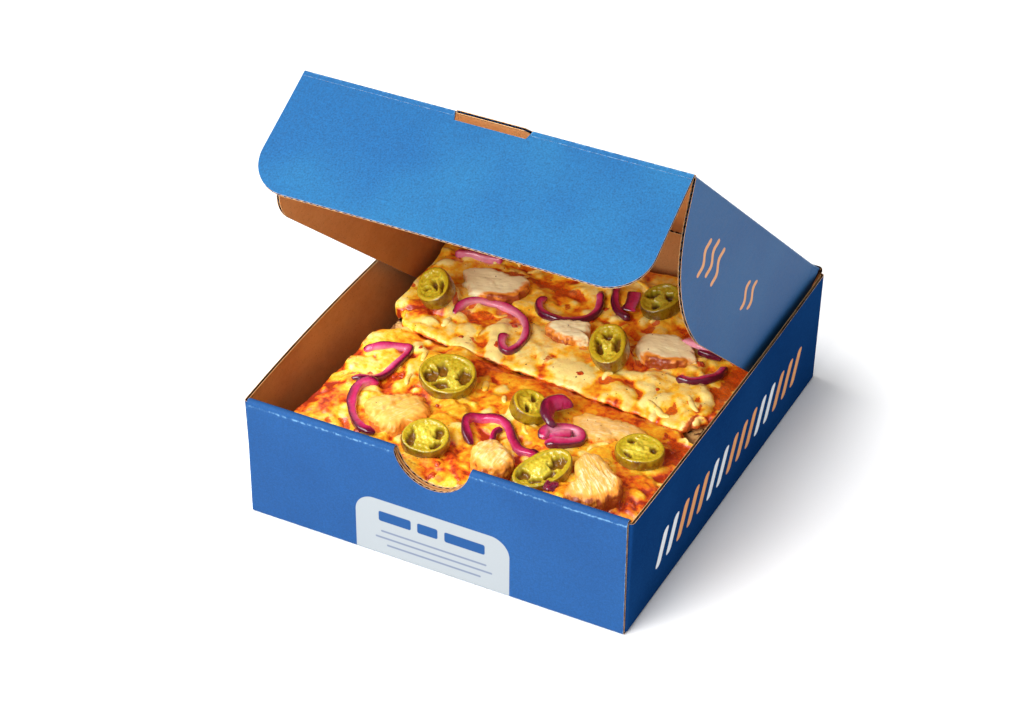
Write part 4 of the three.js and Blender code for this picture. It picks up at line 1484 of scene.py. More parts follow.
    def settle(self):
        """Softens what melted, lets sauce gather in hollows and browns what stands proud."""
        x, y = self.x, self.y
        self.height = blurred(0.3 * self.height + 0.7 * blurred(self.height, 1), 1)
        stand = self.height - blurred(self.height, 6)
        self.sauce = np.clip(self.sauce + 0.6 * smooth_step(-stand, 0.5, 1.5), 0, 1)
        self.melt = blurred(self.melt, 1) - 0.2 * smooth_step(-stand, 0.1, 0.9)
        self.melt += 0.1 * smooth_step(stand, 0.2, 1.0)
        spots = rough(x, y, (1, 4.2, 81), (0.6, 1.8, 82))
        toast = self.toast + 0.7 * smooth_step(spots, 0.75, 1.3) + 0.25 * smooth_step(stand, 0.7, 1.5)
        self.toast = np.clip(toast, 0, 1)
        self.height += rough(x, y, (0.1, 1.9, 83), (0.04, 0.9, 84))


def dough_slab(pizza, name, spec):
    """The baked base under the cheese, with a bulged and wrinkled side."""
    bm = bmesh.new()
    low, high = spec.low, spec.dough_top
    profile_out = [-8, -4.5, -2.2, -0.7, 0.0, 0.35, 0.3, 0.0, -0.5, -2, -5]
    profile_up = [0, 0, 0.03, 0.1, 0.28, 0.45, 0.62, 0.8, 0.93, 1, 1]
    places = np.linspace(0, 1, len(profile_out))
    corners = np.array(spec.corners, float)
    sides = np.roll(corners, -1, axis=0) - corners
    lengths = np.linalg.norm(sides, axis=1)
    stops = np.concatenate([[0], np.cumsum(lengths)])
    middle = corners.mean(axis=0)
    for vert, around, share in unrolled(bm, 360, 16):
        s = around * stops[-1] % stops[-1]
        side = min(int(np.searchsorted(stops, s, "right")) - 1, 3)
        along = (s - stops[side]) / lengths[side]
        point = corners[side] + sides[side] * along
        outward = np.array([sides[side][1], -sides[side][0]]) / lengths[side]
        near = min(s - stops[side], stops[side + 1] - s)
        inward = (middle - point) / np.linalg.norm(middle - point)
        cut = SLICE_CORNER * 0.42 * max(0.0, 1 - near / 12) ** 2
        height = float(np.interp(share, places, profile_up))
        out = float(np.interp(share, places, profile_out)) - 1.4
        out += 0.9 * noise(Vector((s / 13, height * 1.2, spec.seed)))
        out += 0.35 * noise(Vector((s / 3.1, height * 3, spec.seed + 5)))
        place = point + outward * out + inward * cut
        wrinkle = 0.3 * noise(Vector((s / 5, share * 4, 3.3))) * (0 < share < 1)
        vert.co = (*place, low + (high - low) * height + wrinkle)
    bmesh.ops.remove_doubles(bm, verts=bm.verts, dist=MERGED)
    close_holes(bm)
    return solidified(f"dough_slab_{name}", bm, [baked_dough(pizza)], "root", [f"dough_{name}"])


def cheese_sheet(pizza, name, spec):
    """Melted cheese over a slice, with edges that droop over the dough."""
    corners = spec.corners
    width, depth = corners[1][0] - corners[0][0], corners[3][1] - corners[0][1]
    columns, rows = round(width / pizza.relief_step), round(depth / pizza.relief_step)
    i, j = np.meshgrid(np.arange(-SKIRT, columns + SKIRT + 1), np.arange(-SKIRT, rows + SKIRT + 1))
    across, along = np.clip(i / columns, 0, 1), np.clip(j / rows, 0, 1)
    place = slice_place(corners, across, along)
    x, y = place[..., 0], place[..., 1]
    inner = (slice(SKIRT, SKIRT + rows + 1), slice(SKIRT, SKIRT + columns + 1))
    relief = Relief(x[inner], y[inner], corners, spec.seed)
    relief.bake(name, pizza.shred_count, pizza.shred_radius)
    # Painted light: shifts each slice's cheese paler or darker to even out the lid's shade.
    relief.melt += spec.pale
    for number, ring in CHILLI_RINGS.items():
        if ring.slice == name:
            base = chilli_base(number, ring)
            axis = ring.axis
            slope = (-axis[0] / axis[2], -axis[1] / axis[2])
            relief.prop(base, sum(ring.radius) / 2, base.z - spec.cheese_top + 0.2, slope)
    layers = (relief.height, relief.melt, relief.sauce, relief.toast)
    height, melt, sauce, toast = (np.pad(values, SKIRT, mode="edge") for values in layers)
    near_x, near_y = (
        smooth_step(np.minimum(share, 1 - share) * side, 13, 0) * np.where(share < 0.5, -1, 1)
        for share, side in ((across, width), (along, depth))
    )
    pull = SLICE_CORNER * np.abs(near_x * near_y) - 0.7 + 0.9 * field(x, y, 7, spec.seed + 40)
    rim = np.maximum(np.abs(near_x), np.abs(near_y))
    x, y = x - near_x * pull, y - near_y * pull
    over_x, over_y = (
        np.where(n < 0, -n, np.maximum(n - last, 0)) / SKIRT for n, last in ((i, columns), (j, rows))
    )
    over = np.maximum(over_x, over_y)
    sides = OVERHANG[name]
    weight = over_x + over_y + 1e-9
    hang = [
        (np.where(i < 0, sides["left"][n], sides["right"][n]) * over_x
         + np.where(j < 0, sides["front"][n], sides["back"][n]) * over_y) / weight
        for n in (0, 1)
    ]
    lumpy = 1 + 0.3 * np.clip(height, -1.5, 2)
    arc = np.clip(over / 0.5, 0, 1) * pi / 2
    tuck = smooth_step(over, 0.72, 1)
    seed = spec.seed + 50
    runs = 0.75 + 0.8 * field(x + y, x - y, 8, seed) + 0.4 * field(x + y, x - y, 3, seed + 1)
    runs = np.clip(runs, 0.1, 1.9)
    fall = over * 9
    wrinkle = 0.55 * field(x + y, (x - y) * 0.4 + fall, 2.6, seed + 2) * smooth_step(over, 0.1, 0.5)
    out = hang[0] * np.sin(arc) * lumpy * (1 - 0.9 * tuck) - 1.6 * tuck + wrinkle * (1 - tuck)
    down = (1.9 + 0.5 * height) * (1 - np.cos(arc)) + hang[1] * runs * smooth_step(over, 0.45, 1)
    length = np.hypot(over_x, over_y) + 1e-9
    x = x + np.where(i < 0, -1, 1) * over_x / length * out * (over > 0)
    y = y + np.where(j < 0, -1, 1) * over_y / length * out * (over > 0)
    z = spec.cheese_top + height - 0.9 * rim**2 - down
    seam = along * depth
    if name == "front":
        seam = (1 - along) * depth
        z -= 1.3 * smooth_step(seam, 5, 0)
    z = np.maximum(z, spec.low + 1.2)
    sauce = sauce + 0.5 * smooth_step(over, 0.35, 0.9) * (0.4 + field(x + y, fall, 4, seed + 3))
    sauce = np.clip(sauce, 0, 1)
    melt = melt - 0.22 * smooth_step(over, 0.2, 0.9)
    # Where the two slices meet, their drooping edges are filled with sauce: painted shade, a dark line where
    # the rear slice's edge overhangs the front one.
    sauce = np.maximum(sauce, smooth_step(seam, 1.5, 0) * smooth_step(over, 0.3, 0.6))
    bm = bmesh.new()
    layers = number_layers(bm, "melt", "sauce", "toast")
    places = np.stack([x, y, z], axis=-1).reshape(-1, 3)
    levels = np.stack([melt, sauce, toast], axis=-1).reshape(-1, 3)
    grid = unrolled(bm, i.shape[1] - 1, i.shape[0] - 1)
    for (vert, _, _), co, values in zip(grid, places.tolist(), levels.tolist()):
        vert.co = co
        for layer, value in zip(layers, values):
            vert[layer] = value
    edges = [edge for edge in bm.edges if edge.is_boundary]
    under = bmesh.ops.extrude_edge_only(bm, edges=edges)["geom"]
    middle = Vector((*np.mean(corners, axis=0), 0))
    for vert in only(BMVert, under):
        inward = (middle - vert.co) * Vector((1, 1, 0))
        vert.co += inward.normalized() * 3
        vert.co.z = spec.dough_top - UNDER_CHEESE
    close_holes(bm)
    return bm


def surface_under(*names):
    """What toppings lie on, for finding heights."""
    bm = bmesh.new()
    for name in names:
        bm.from_mesh(bpy.data.objects[name].data)
    bmesh.ops.transform(bm, matrix=Matrix.Scale(1 / MM, 4), verts=bm.verts)
    tree = BVHTree.FromBMesh(bm)
    bm.free()
    return tree


def drop(tree, x, y):
    """Where something let fall at a place comes to rest, and which way the surface faces there."""
    hit = tree.ray_cast(Vector((x, y, 90)), Vector((0, 0, -1)))
    return hit[0], hit[1]


class PIZZACARTON_OT_slices(bpy.types.Operator):
    """Build both slices: dough, and cheese with its sauce"""

    bl_idname = "pizzacarton.slices"
    bl_label = "Slices"

    def execute(self, context):
        pizza = context.scene.pizza_food
        finish = melted_cheese(pizza)
        for name, spec in SLICES.items():
            dough_slab(pizza, name, spec)
            bm = cheese_sheet(pizza, name, spec)
            solidified(f"melted_cheese_{name}", bm, [finish], "root", [f"cheese_{name}"])
        return {"FINISHED"}


# Toppings

SUNK = 0.5
SKIN_DEPTH = 0.75

class Ring(NamedTuple):
    """A chilli slice: the pizza slice it lies on, half sizes, height, axis and turn round it, thickness of
    its wall, place and share of its core, how light it is, how far it lies off its node, and the pockets
    beside its core, each with place, half length, half width and direction in the slice's own plane."""

    slice: str
    radius: tuple
    height: float
    axis: tuple
    turn: float
    wall: float
    core: tuple
    ripe: float
    shift: tuple
    pockets: tuple


class Strip(NamedTuple):
    """An onion strip: half height and half width, depth of colour, lean in degrees, side of the skin,
    points, whether it leaves the cheese, how long its ends taper, and a second layer beside it."""

    half: tuple
    depth: float
    lean: float
    skin: int
    points: tuple
    free: bool = False
    taper: float = 0.07
    layer: tuple = ()


class Lump(NamedTuple):
    """A piece of chicken: half thickness, how crisp its rim, how torn, how lumpy its top, direction and
    strength of its fibres, direction and spread of its seared side, how brown, how pale, and outline. The
    paleness is painted light: pieces on the rear slice, in the lid's shade, are made far paler than those at
    the front."""

    thick: float
    crisp: float
    torn: float
    lumpy: float
    fibres: tuple
    sear: tuple
    brown: float
    pale: float
    outline: tuple


CHILLI_RINGS = {
    1: Ring("rear", (11.6, 9.6), 9, (-0.3, -0.39, 0.87), 117, 3.6, (0, -2.4, 0.34), 1.15, (0, 0), (
        (0.2, -0.6, 4.2, 1.2, -162), (-2, -4.4, 4.8, 1.2, -178), (-0.6, 3.6, 1.9, 1.3, -115))),
    2: Ring("rear", (12.4, 10.2), 9.5, (-0.12, -0.37, 0.92), 117, 3.8, (-1.2, 0.2, 0.42), 1.08, (0.5, 1), (
        (5.6, -0.2, 2.4, 2.6, -105), (-0.7, 4.4, 4.9, 1.6, -171), (-1.2, -4.4, 4.6, 2, -11))),
    3: Ring("front", (14, 13.2), 6.5, (0.1, -0.24, 0.96), 30, 2.5, (2.6, -4.2, 0.42), 1, (0, 1.5), (
        (-2.2, 3, 3.8, 2.8, 87), (-8, 0.2, 4.2, 3.4, 60), (8, -2.2, 4.6, 3.2, 63),
        (-3.2, -6.4, 3.6, 2.6, -4))),
    4: Ring("front", (11.2, 11.4), 6.5, (0.08, -0.24, 0.96), 100, 2.7, (1.2, 0.4, 0.46), 1, (0, 1.5), (
        (-2.8, 6.2, 5.4, 1.9, 9), (3.4, -5.6, 3.8, 1.8, 1), (-4.2, -6.4, 2.8, 1.6, -30))),
    5: Ring("front", (10.2, 9.6), 7, (0.34, 0.06, 0.93), 60, 3, (0, 0, 0.44), 1.25, (2.4, 1), (
        (3.8, 3.2, 3, 1.3, 45), (-3.6, -2.4, 3.4, 1.2, 51))),
    6: Ring("front", (16, 9.8), 6.5, (0.02, -0.2, 0.98), 57, 2.7, (-0.6, 0.6, 0.44), 1, (2, 1), (
        (8, -0.4, 4.2, 3.2, 12), (-9, 1.8, 3, 2.6, -7), (-6.4, -4.2, 3.2, 1.6, -30),
        (1.4, -5, 4, 1.4, 12))),
    7: Ring("front", (11.8, 11), 6.5, (0, -0.06, 1), -8, 2.8, (-1, 0.6, 0.48), 1.08, (0, 1.5), (
        (5.4, 3.4, 2.8, 1.7, 120), (-3, -5.8, 3, 1.4, 160), (-6, 3.4, 2.2, 1.5, 70))),
    8: Ring("rear", (10.8, 10), 8, (-0.1, -0.25, 0.95), 50, 3.2, (0, 0, 0.4), 0.72, (0, 0), (
        (-1.8, 4.2, 3.4, 1.8, -15), (4.4, -1.6, 2.6, 2, 75), (-4.2, -3.6, 2.2, 1.6, 35))),
}

ONION_STRIPS = {
    "hook": Strip((1.8, 2), 0.04, 10, -1, (
        (-58, 15.5, 50.5), (-58, 22, 51), (-55, 28, 51.5), (-49, 33, 52), (-42, 34.5, 52.5),
        (-33.5, 33, 52.5), (-26, 28, 52.5), (-20, 20.5, 52), (-17, 12, 51.5), (-17.3, 4.7, 51),
        (-19.7, 0, 51), (-23.5, 1.5, 51), (-26, 7, 51), (-25, 11, 51))),
    "bow": Strip((2.1, 2.1), 0.2, -15, 1, (
        (-22, 48, 50.5), (-23, 41, 51), (-18, 35.5, 51), (-10, 35, 51.5), (-2.5, 38, 51.5),
        (3, 44.5, 51.5), (4.5, 52, 51), (2, 60, 50.5), (-1, 66, 50.5))),
    "sliver": Strip((2, 2), 0.3, -20, 1, (
        (6, 71, 50.5), (8, 65, 50.5), (10.5, 60, 50.5), (15, 55.5, 50.5), (22, 53, 50.5)),
        layer=Strip((0.9, 3.4), 0.32, 0, -1, ((19, 57, 51), (17.5, 66, 51), (15, 74, 51)), free=True)),
    "fold": Strip((1.6, 2.1), 0.16, 12, -1, (
        (-84, -30.5, 49.5), (-79, -26.5, 50), (-73, -21, 50), (-66, -17.5, 50), (-63.5, -24, 50),
        (-64, -34, 50), (-66, -44, 49.5), (-70, -52, 49), (-76, -57, 48.5))),
    "left_arc": Strip((1.9, 2.3), 0.36, 5, 1, (
        (-63, -52, 50), (-68, -55, 50.5), (-69.5, -61, 50.5), (-67.5, -70, 50), (-63, -78, 49.5),
        (-56, -86.5, 49), (-50, -91, 48.5), (-43, -91.5, 48.5))),
    "wave": Strip((2, 2.2), 0.42, 10, -1, (
        (-0.5, -74, 53), (-6, -69, 52.5), (-10, -62.5, 52), (-9.5, -57, 52), (-4, -53.5, 52),
        (3, -53, 51.5), (9, -56, 51), (14.5, -62, 50.5), (21, -68, 50), (27, -68.5, 49.5),
        (31, -66.5, 49)),
        layer=Strip((1.5, 1.5), 0.5, 0, 1, ((7, -69, 48.5), (5.5, -63, 49.5), (7, -58.5, 49.5)), free=True)),
    "curl": Strip((3.8, 2.6), 0.72, 32, 1, (
        (31, -30, 52.5), (28, -31.5, 54), (25, -33.5, 55), (22.5, -38, 55.5), (24, -44, 55.5),
        (27.5, -48.5, 55), (31.5, -50.5, 54)), free=True, taper=0.3),
    "pink_ring": Strip((2.6, 2.6), 0.14, -10, -1, (
        (28, -58, 49), (27.5, -51.5, 49.5), (31, -46, 50), (36, -43, 50), (41, -44, 49.5),
        (43.5, -48.5, 49.5), (40, -53, 49), (35, -56.5, 49), (30.5, -60, 48.5)),
        layer=Strip((1.6, 3.2), 0.1, 0, 1, ((31, -55, 49.5), (35, -50, 50), (39, -48, 49.5)), free=True)),
    "right_arc": Strip((2.1, 2.3), 0.12, -14, 1, (
        (64.5, 15, 50.5), (71, 16, 50.5), (77, 20, 50.5), (81, 28, 51), (81, 37, 51))),
    "right_strip": Strip((1.5, 3.6), 0.02, -6, -1, (
        (56, 43, 53), (60, 41.5, 55), (65, 40, 56), (70, 40.5, 55), (75, 43, 52.5)), free=True,
        layer=Strip((1.8, 2.2), 0.5, 0, 1, ((66, 38, 54), (72, 37.5, 53.5), (78, 40, 52)), free=True)),
    "back_strip": Strip((2, 2.4), 0.2, -15, -1, (
        (-82, 62, 50.5), (-76, 62.5, 51), (-69, 64, 50.5), (-62, 66, 50.5), (-57, 67.5, 50.5))),
}

# The pale column is painted light: pieces 1 to 3 on the rear slice are made pale to make up for the lid's
# shade.
CHICKEN = {
    1: Lump(4, 7, 0.05, 0.35, (20, 0.25), (-35, 75), 1, 1.15, (
        (-69.5, 47.5), (-67, 53), (-60, 55.8), (-50, 56), (-44.5, 54), (-40, 58), (-35.5, 55), (-33, 49),
        (-34, 41), (-41, 35.5), (-51.5, 32.5), (-58, 31.5), (-60.5, 35), (-65, 37.5), (-65.5, 42))),
    2: Lump(4.4, 4.5, 0.1, 0.5, (35, 0.5), (-115, 95), 0.72, 1.05, (
        (-11, 26), (-4, 31.5), (3, 34), (8.5, 35.5), (10, 30), (9, 26.5), (13, 23), (10, 19.5), (4, 17),
        (-4, 18.5), (-10, 21))),
    3: Lump(4.8, 5, 0.07, 0.35, (5, 0.25), (-75, 70), 1.1, 1.15, (
        (35.5, 33), (37, 39), (44, 42.5), (51, 45.5), (57, 42), (64, 37.5), (68, 31), (64, 25.5),
        (57, 21.5), (49, 20.5), (42, 22.5), (37, 27.5))),
    4: Lump(5.6, 3.4, 0.1, 0.6, (60, 0.4), (20, 110), 0.62, 0.15, (
        (-60, -73), (-57, -66.5), (-51.7, -62.5), (-47.5, -60.5), (-43, -56.5), (-36, -56.5),
        (-29.5, -62.5), (-27, -69.4), (-29.5, -75), (-34, -79.5), (-36, -85), (-42, -86.5),
        (-51.6, -81))),
    5: Lump(7.4, 3.4, 0.07, 0.7, (85, 0.45), (-50, 125), 0.75, 0.25, (
        (4, -84), (5.5, -78), (8.8, -74), (13.8, -74), (19, -77), (25, -80), (27.5, -86), (27, -92),
        (22.5, -96), (15.5, -96), (8, -92))),
    6: Lump(7.4, 5, 0.05, 0.35, (133, 0.9), (-45, 130), 1, 0.25, (
        (51.5, -71), (53.5, -64), (59.7, -62), (67, -67.5), (78.5, -75), (81.5, -84), (77, -93),
        (70.5, -98.5), (64, -99), (58.5, -97), (57, -91), (58.5, -82.5), (54.5, -76.5))),
    7: Lump(2.7, 3.4, 0.1, 0.5, (8, 0.3), (-80, 70), 0.45, 0.3, (
        (33, -34), (36, -28), (44.6, -26.5), (54.7, -25.8), (65, -25.5), (70.5, -29), (69, -35),
        (61, -38), (57, -43), (50, -46), (42, -44), (35, -39))),
}


def remeshed(bm, voxel):
    """One even skin round everything in a bmesh."""
    bmesh.ops.recalc_face_normals(bm, faces=bm.faces)
    made = object_from("core", bm)
    modifier = made.modifiers.new("skin", "REMESH")
    modifier.mode = "VOXEL"
    modifier.voxel_size = voxel
    graph = bpy.context.evaluated_depsgraph_get()
    skin = bmesh.new()
    skin.from_mesh(bpy.data.meshes.new_from_object(made.evaluated_get(graph), depsgraph=graph))
    bpy.data.objects.remove(made)
    for _ in range(3):
        softened(skin, 0.5)
    return skin


def middle_of(node):
    low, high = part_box(node)
    return (low + high) / 2 / MM


def chilli_base(number, ring):
    """The middle of a chilli slice's underside: its lowest rim point rests at the height of its node."""
    axis = Vector(ring.axis).normalized()
    place = middle_of(f"chilli_ring_{number}") + Vector((*ring.shift, 0))
    lean = sqrt(max(0.0, 1 - axis.z**2))
    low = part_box(f"chilli_ring_{number}")[0].z / MM - SUNK
    base = place - axis * ring.height / 2
    base.z = low + lean * sum(ring.radius) / 2
    return base


def chilli_slice(number, ring):
    """A cut chilli: a wall with flesh across it, a lumpy core and open pockets beside the core."""
    a, b = ring.radius
    half = ring.height / 2
    shift = Vector((number * 3.1, number * 2.3, 0))

    def wobble(angle):
        return 1 + 0.03 * sin(2 * angle + number) + 0.022 * sin(3 * angle + 2 * number)

    bm = bmesh.new()
    band = unrolled(bm, 72, 20)
    for vert, around, up in band:
        angle, turn = around * 2 * pi, up * 2 * pi
        wall = ring.wall * (1 + 0.16 * sin(2 * angle + 2.1 * number) + 0.1 * sin(5 * angle + number))
        reach = -wall / 2 + blunted(cos(turn), 0.7) * wall / 2
        tall = half * (1 + 0.07 * sin(angle + number) + 0.05 * sin(3 * angle))
        vert.co = ((a + reach) * cos(angle), (b + reach) * sin(angle), blunted(sin(turn), 0.7) * tall)
        vert.co *= Vector((wobble(angle), wobble(angle), 1))
    bmesh.ops.remove_doubles(bm, verts=bm.verts, dist=MERGED)
    bmesh.ops.create_cone(
        bm, cap_ends=True, segments=48, radius1=1, radius2=1, depth=half * 1.5,
        matrix=Matrix.Diagonal((a - ring.wall * 0.6, b - ring.wall * 0.6, 1, 1)),
    )
    core_x, core_y, share = ring.core
    core = bmesh.ops.create_icosphere(bm, subdivisions=4, radius=1)["verts"]
    for vert in core:
        vert.co *= 1 + 0.36 * noise(vert.co * 1.5 + shift) + 0.16 * noise(vert.co * 4.5 + shift)
        vert.co *= Vector((a * share, b * share, half * 0.98))
        vert.co += Vector((core_x, core_y, 0))
    skin = remeshed(bm, 0.42)
    skin_layer, core_layer, pocket_layer, ripe_layer = number_layers(skin, "skin", "core", "pocket", "ripe")
    for vert in skin.verts:
        x, y, z = vert.co
        angle = atan2(y / b, x / a)
        depth = (1 - hypot(x / a, y / b) / wobble(angle)) * (a + b) / 2
        open_up = 0.0
        for place_x, place_y, long, wide, direction in ring.pockets:
            way = radians(direction)
            dx, dy = x - place_x, y - place_y
            along, across = dx * cos(way) + dy * sin(way), dy * cos(way) - dx * sin(way)
            edge = hypot(along / long, across / wide) + 0.5 * noise(Vector((x / 2.2, y / 2.2, number)))
            open_up = max(open_up, smooth_step(edge, 1.3, 0.7))
        open_up *= smooth_step(depth, 1.6, 2.4) * (z > 0)
        vert.co.z -= open_up * (z + half * 0.2)
        outer = smooth_step(depth, SKIN_DEPTH + 0.25, SKIN_DEPTH - 0.35)
        vert[skin_layer] = outer * (1 - 0.35 * smooth_step(abs(z), half * 0.7, half))
        middle = hypot((x - core_x) / a, (y - core_y) / b) / share
        vert[core_layer] = smooth_step(middle, 1.25, 0.7) + 0.35 * smooth_step(depth, 2.0, 3.2)
        vert[pocket_layer] = open_up
        vert[ripe_layer] = ring.ripe
        bump = noise(vert.co * 0.9 + shift) * 0.18 + noise(vert.co * 2.1) * 0.1
        bump += 0.5 * noise(Vector((x / 1.7, y / 1.7, number * 5.1))) * smooth_step(depth, 2.2, 3.2)
        vert.co += vert.normal * bump
    lean = UP.rotation_difference(Vector(ring.axis)).to_matrix().to_4x4()
    turn = lean @ Matrix.Rotation(radians(ring.turn), 4, "Z")
    bmesh.ops.transform(skin, matrix=turn, verts=skin.verts)
    centre = chilli_base(number, ring) + Vector(ring.axis).normalized() * half
    bmesh.ops.translate(skin, vec=centre, verts=skin.verts)
    return skin


def onion_strip(name, strip, cheese):
    """A curved strip of onion that is pale on its inner side and purple on its skin side."""
    bm = bmesh.new()
    number_layers(bm, "share", "turn", "out", "depth")
    onion_layer(bm, name, strip, cheese)
    if strip.layer:
        onion_layer(bm, name, strip.layer, cheese)
    close_holes(bm)
    return bm


def onion_layer(bm, name, strip, cheese):
    skin = strip.skin
    length = sum((Vector(b) - Vector(a)).length for a, b in zip(strip.points, strip.points[1:]))
    steps = max(24, round(length / 0.6))
    tall, wide = strip.half
    line = [point - UP * 0.6 for point in spline(strip.points, steps)]
    if not strip.free:
        beds = [drop(cheese, point.x, point.y)[0] for point in line]
        heights = [point.z if bed is None else bed.z + tall * 0.5 for point, bed in zip(line, beds)]
        for index, point in enumerate(line):
            near = heights[max(0, index - 8) : index + 9]
            point.z = sum(near) / len(near)
    seed = sum(map(ord, name))

    def section(share, turn):
        ends = min(1.0, sqrt(max(0.0, min(share, 1 - share)) / strip.taper + 0.0005))
        swell = 1 + 0.14 * noise(Vector((share * length / 7, seed, 0.5)))
        thin = 1 + 0.24 * noise(Vector((share * length / 6, seed, 4.5)))
        across = blunted(cos(turn), 0.6) * wide * thin * (0.3 + 0.7 * ends)
        up = blunted(sin(turn), 0.55) * tall * swell * ends
        return across + skin * 0.3 * (1 - sin(turn) ** 2), up + 0.1 * tall * cos(turn) * skin

    swept = sweep(bm, line, 24, section, radians(strip.lean))
    share_layer, turn_layer, out, depth = number_layers(bm, "share", "turn", "out", "depth")
    for vert in swept:
        share = vert[share_layer]
        across = blunted(cos(vert[turn_layer]), 0.6) * skin
        vert[out] = 0.3 * (across + 1) + 0.34 * smooth_step(across, 0.55, 0.95)
        fade = 0.16 * noise(Vector((share * length / 9, seed, 9)))
        ends = max(0.0, 1 - min(share, 1 - share) / 0.12)
        vert[depth] = strip.depth + fade + 0.35 * ends
        vert.co += vert.normal * 0.12 * noise(vert.co * 0.7)


def outline_reach(outline):
    """The middle of an outline, and a function for how far it reaches at an angle."""
    points = [Vector(point) for point in outline]
    middle = (Vector(map(min, zip(*outline))) + Vector(map(max, zip(*outline)))) / 2
    around = [a.lerp(b, n / 10) - middle for a, b in zip(points, points[1:] + points[:1]) for n in range(10)]
    angles, reaches = [atan2(point.y, point.x) for point in around], [point.length for point in around]
    return middle, lambda angle: float(np.interp(angle, angles, reaches, period=2 * pi))


def chicken_lump(number, piece):
    """A torn piece of chicken: fibres along its top, ragged at its sides and seared in parts."""
    middle, reach_at = outline_reach(piece.outline)
    thick, crisp, torn, lumpy = piece.thick, piece.crisp, piece.torn, piece.lumpy
    bm = bmesh.new()
    layers = number_layers(bm, "sear", "grain", "fibre", "run", "cross")
    bmesh.ops.create_icosphere(bm, subdivisions=6, radius=1)
    fibres, strength = radians(piece.fibres[0]), piece.fibres[1]
    shift = Vector((number * 7.3, number * 3.7, number))
    sear_angle, spread = (radians(value) for value in piece.sear)
    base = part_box(f"chicken_{number}")[0].z / MM + 0.62 * thick - 1.2
    for vert in bm.verts:
        d = vert.co.normalized()
        flat = hypot(d.x, d.y)
        reach = (flat**crisp + abs(d.z) ** crisp) ** (-1 / crisp)
        angle = atan2(d.y, d.x)
        around = Vector((cos(angle), sin(angle), 0))
        ragged = noise(around * 4.2 + shift) + 0.5 * noise(around * 9.5 + shift + UP * d.z * 3)
        side = min(1.0, flat * reach)
        out = side * reach_at(angle) * (1 + torn * ragged * side)
        x, y, z = around.x * out, around.y * out, d.z * reach * thick
        if number == 4:
            z -= 1.8 * exp(-((x - 0.3 * y + 2 + noise(Vector((y / 4, 0, 1))) * 2) ** 2) / 1.2) * (d.z > 0)
        run = x * cos(fibres) + y * sin(fibres)
        cross = y * cos(fibres) - x * sin(fibres)
        wander = 1.4 * noise(Vector((run / 9, cross / 6, number)))
        ridge = noise(Vector((run / 9, (cross + wander) / 1.5, 5)))
        top = max(0.0, d.z) ** 0.5
        lumps = noise(Vector((x / 6, y / 6, z / 5)) + shift)
        pits = noise(Vector((x / 2.2, y / 2.2, z / 2.2)) + shift)
        z += top * (strength * 0.5 * ridge + 1.2 * lumpy * lumps + 0.5 * lumpy * pits)
        x += side * (0.6 * pits + 0.5 * lumps) * d.x
        y += side * (0.6 * pits + 0.5 * lumps) * d.y
        z = max(z, -0.62 * thick + 0.2 * lumps)
        turned = (angle - sear_angle + pi) % (2 * pi) - pi
        facing = smooth_step(abs(turned), spread, spread * 0.45)
        edge = smooth_step(side, 0.66, 1.0)
        low = 0.35 * smooth_step(z, thick * 0.6, -thick * 0.3)
        patch = 0.5 + 0.5 * noise(Vector((x / 3.2, y / 3.2, z / 2.4)) + shift)
        sear = edge * (piece.brown * facing * (0.5 + 0.5 * patch + low) + 0.3 * patch) + 0.08 * patch
        # piece.pale carries painted light as well as the meat's own tone.
        grain = piece.pale + 0.15 * pits - 0.25 * edge + 0.2 * strength * ridge
        for layer, value in zip(layers, (sear, grain, strength * (0.3 + 0.7 * top), run, cross)):
            vert[layer] = value
        vert.co = (middle.x + x, middle.y + y, base + z)
    softened(bm, 0.3)
    return bm


class PIZZACARTON_OT_chillies(bpy.types.Operator):
    """Build the eight chilli slices"""

    bl_idname = "pizzacarton.chillies"
    bl_label = "Chilli slices"

    def execute(self, context):
        finish = pickled_chilli(context.scene.pizza_food)
        for number, ring in CHILLI_RINGS.items():
            bm = chilli_slice(number, ring)
            solidified(f"chilli_slice_{number}", bm, [finish], "root", [f"chilli_ring_{number}"])
        return {"FINISHED"}


class PIZZACARTON_OT_onions(bpy.types.Operator):
    """Build the eleven onion strips"""

    bl_idname = "pizzacarton.onions"
    bl_label = "Onion strips"

    def execute(self, context):
        finish = red_onion(context.scene.pizza_food)
        cheese = surface_under(*CHEESE)
        for name, strip in ONION_STRIPS.items():
            bm = onion_strip(name, strip, cheese)
            solidified(f"red_onion_{name}", bm, [finish], "root", [f"onion_{name}"])
        return {"FINISHED"}


class PIZZACARTON_OT_chicken(bpy.types.Operator):
    """Build the seven pieces of chicken"""

    bl_idname = "pizzacarton.chicken"
    bl_label = "Chicken"

    def execute(self, context):
        finish = cooked_chicken(context.scene.pizza_food)
        for number, piece in CHICKEN.items():
            bm = chicken_lump(number, piece)
            solidified(f"chicken_piece_{number}", bm, [finish], "root", [f"chicken_{number}"])
        return {"FINISHED"}


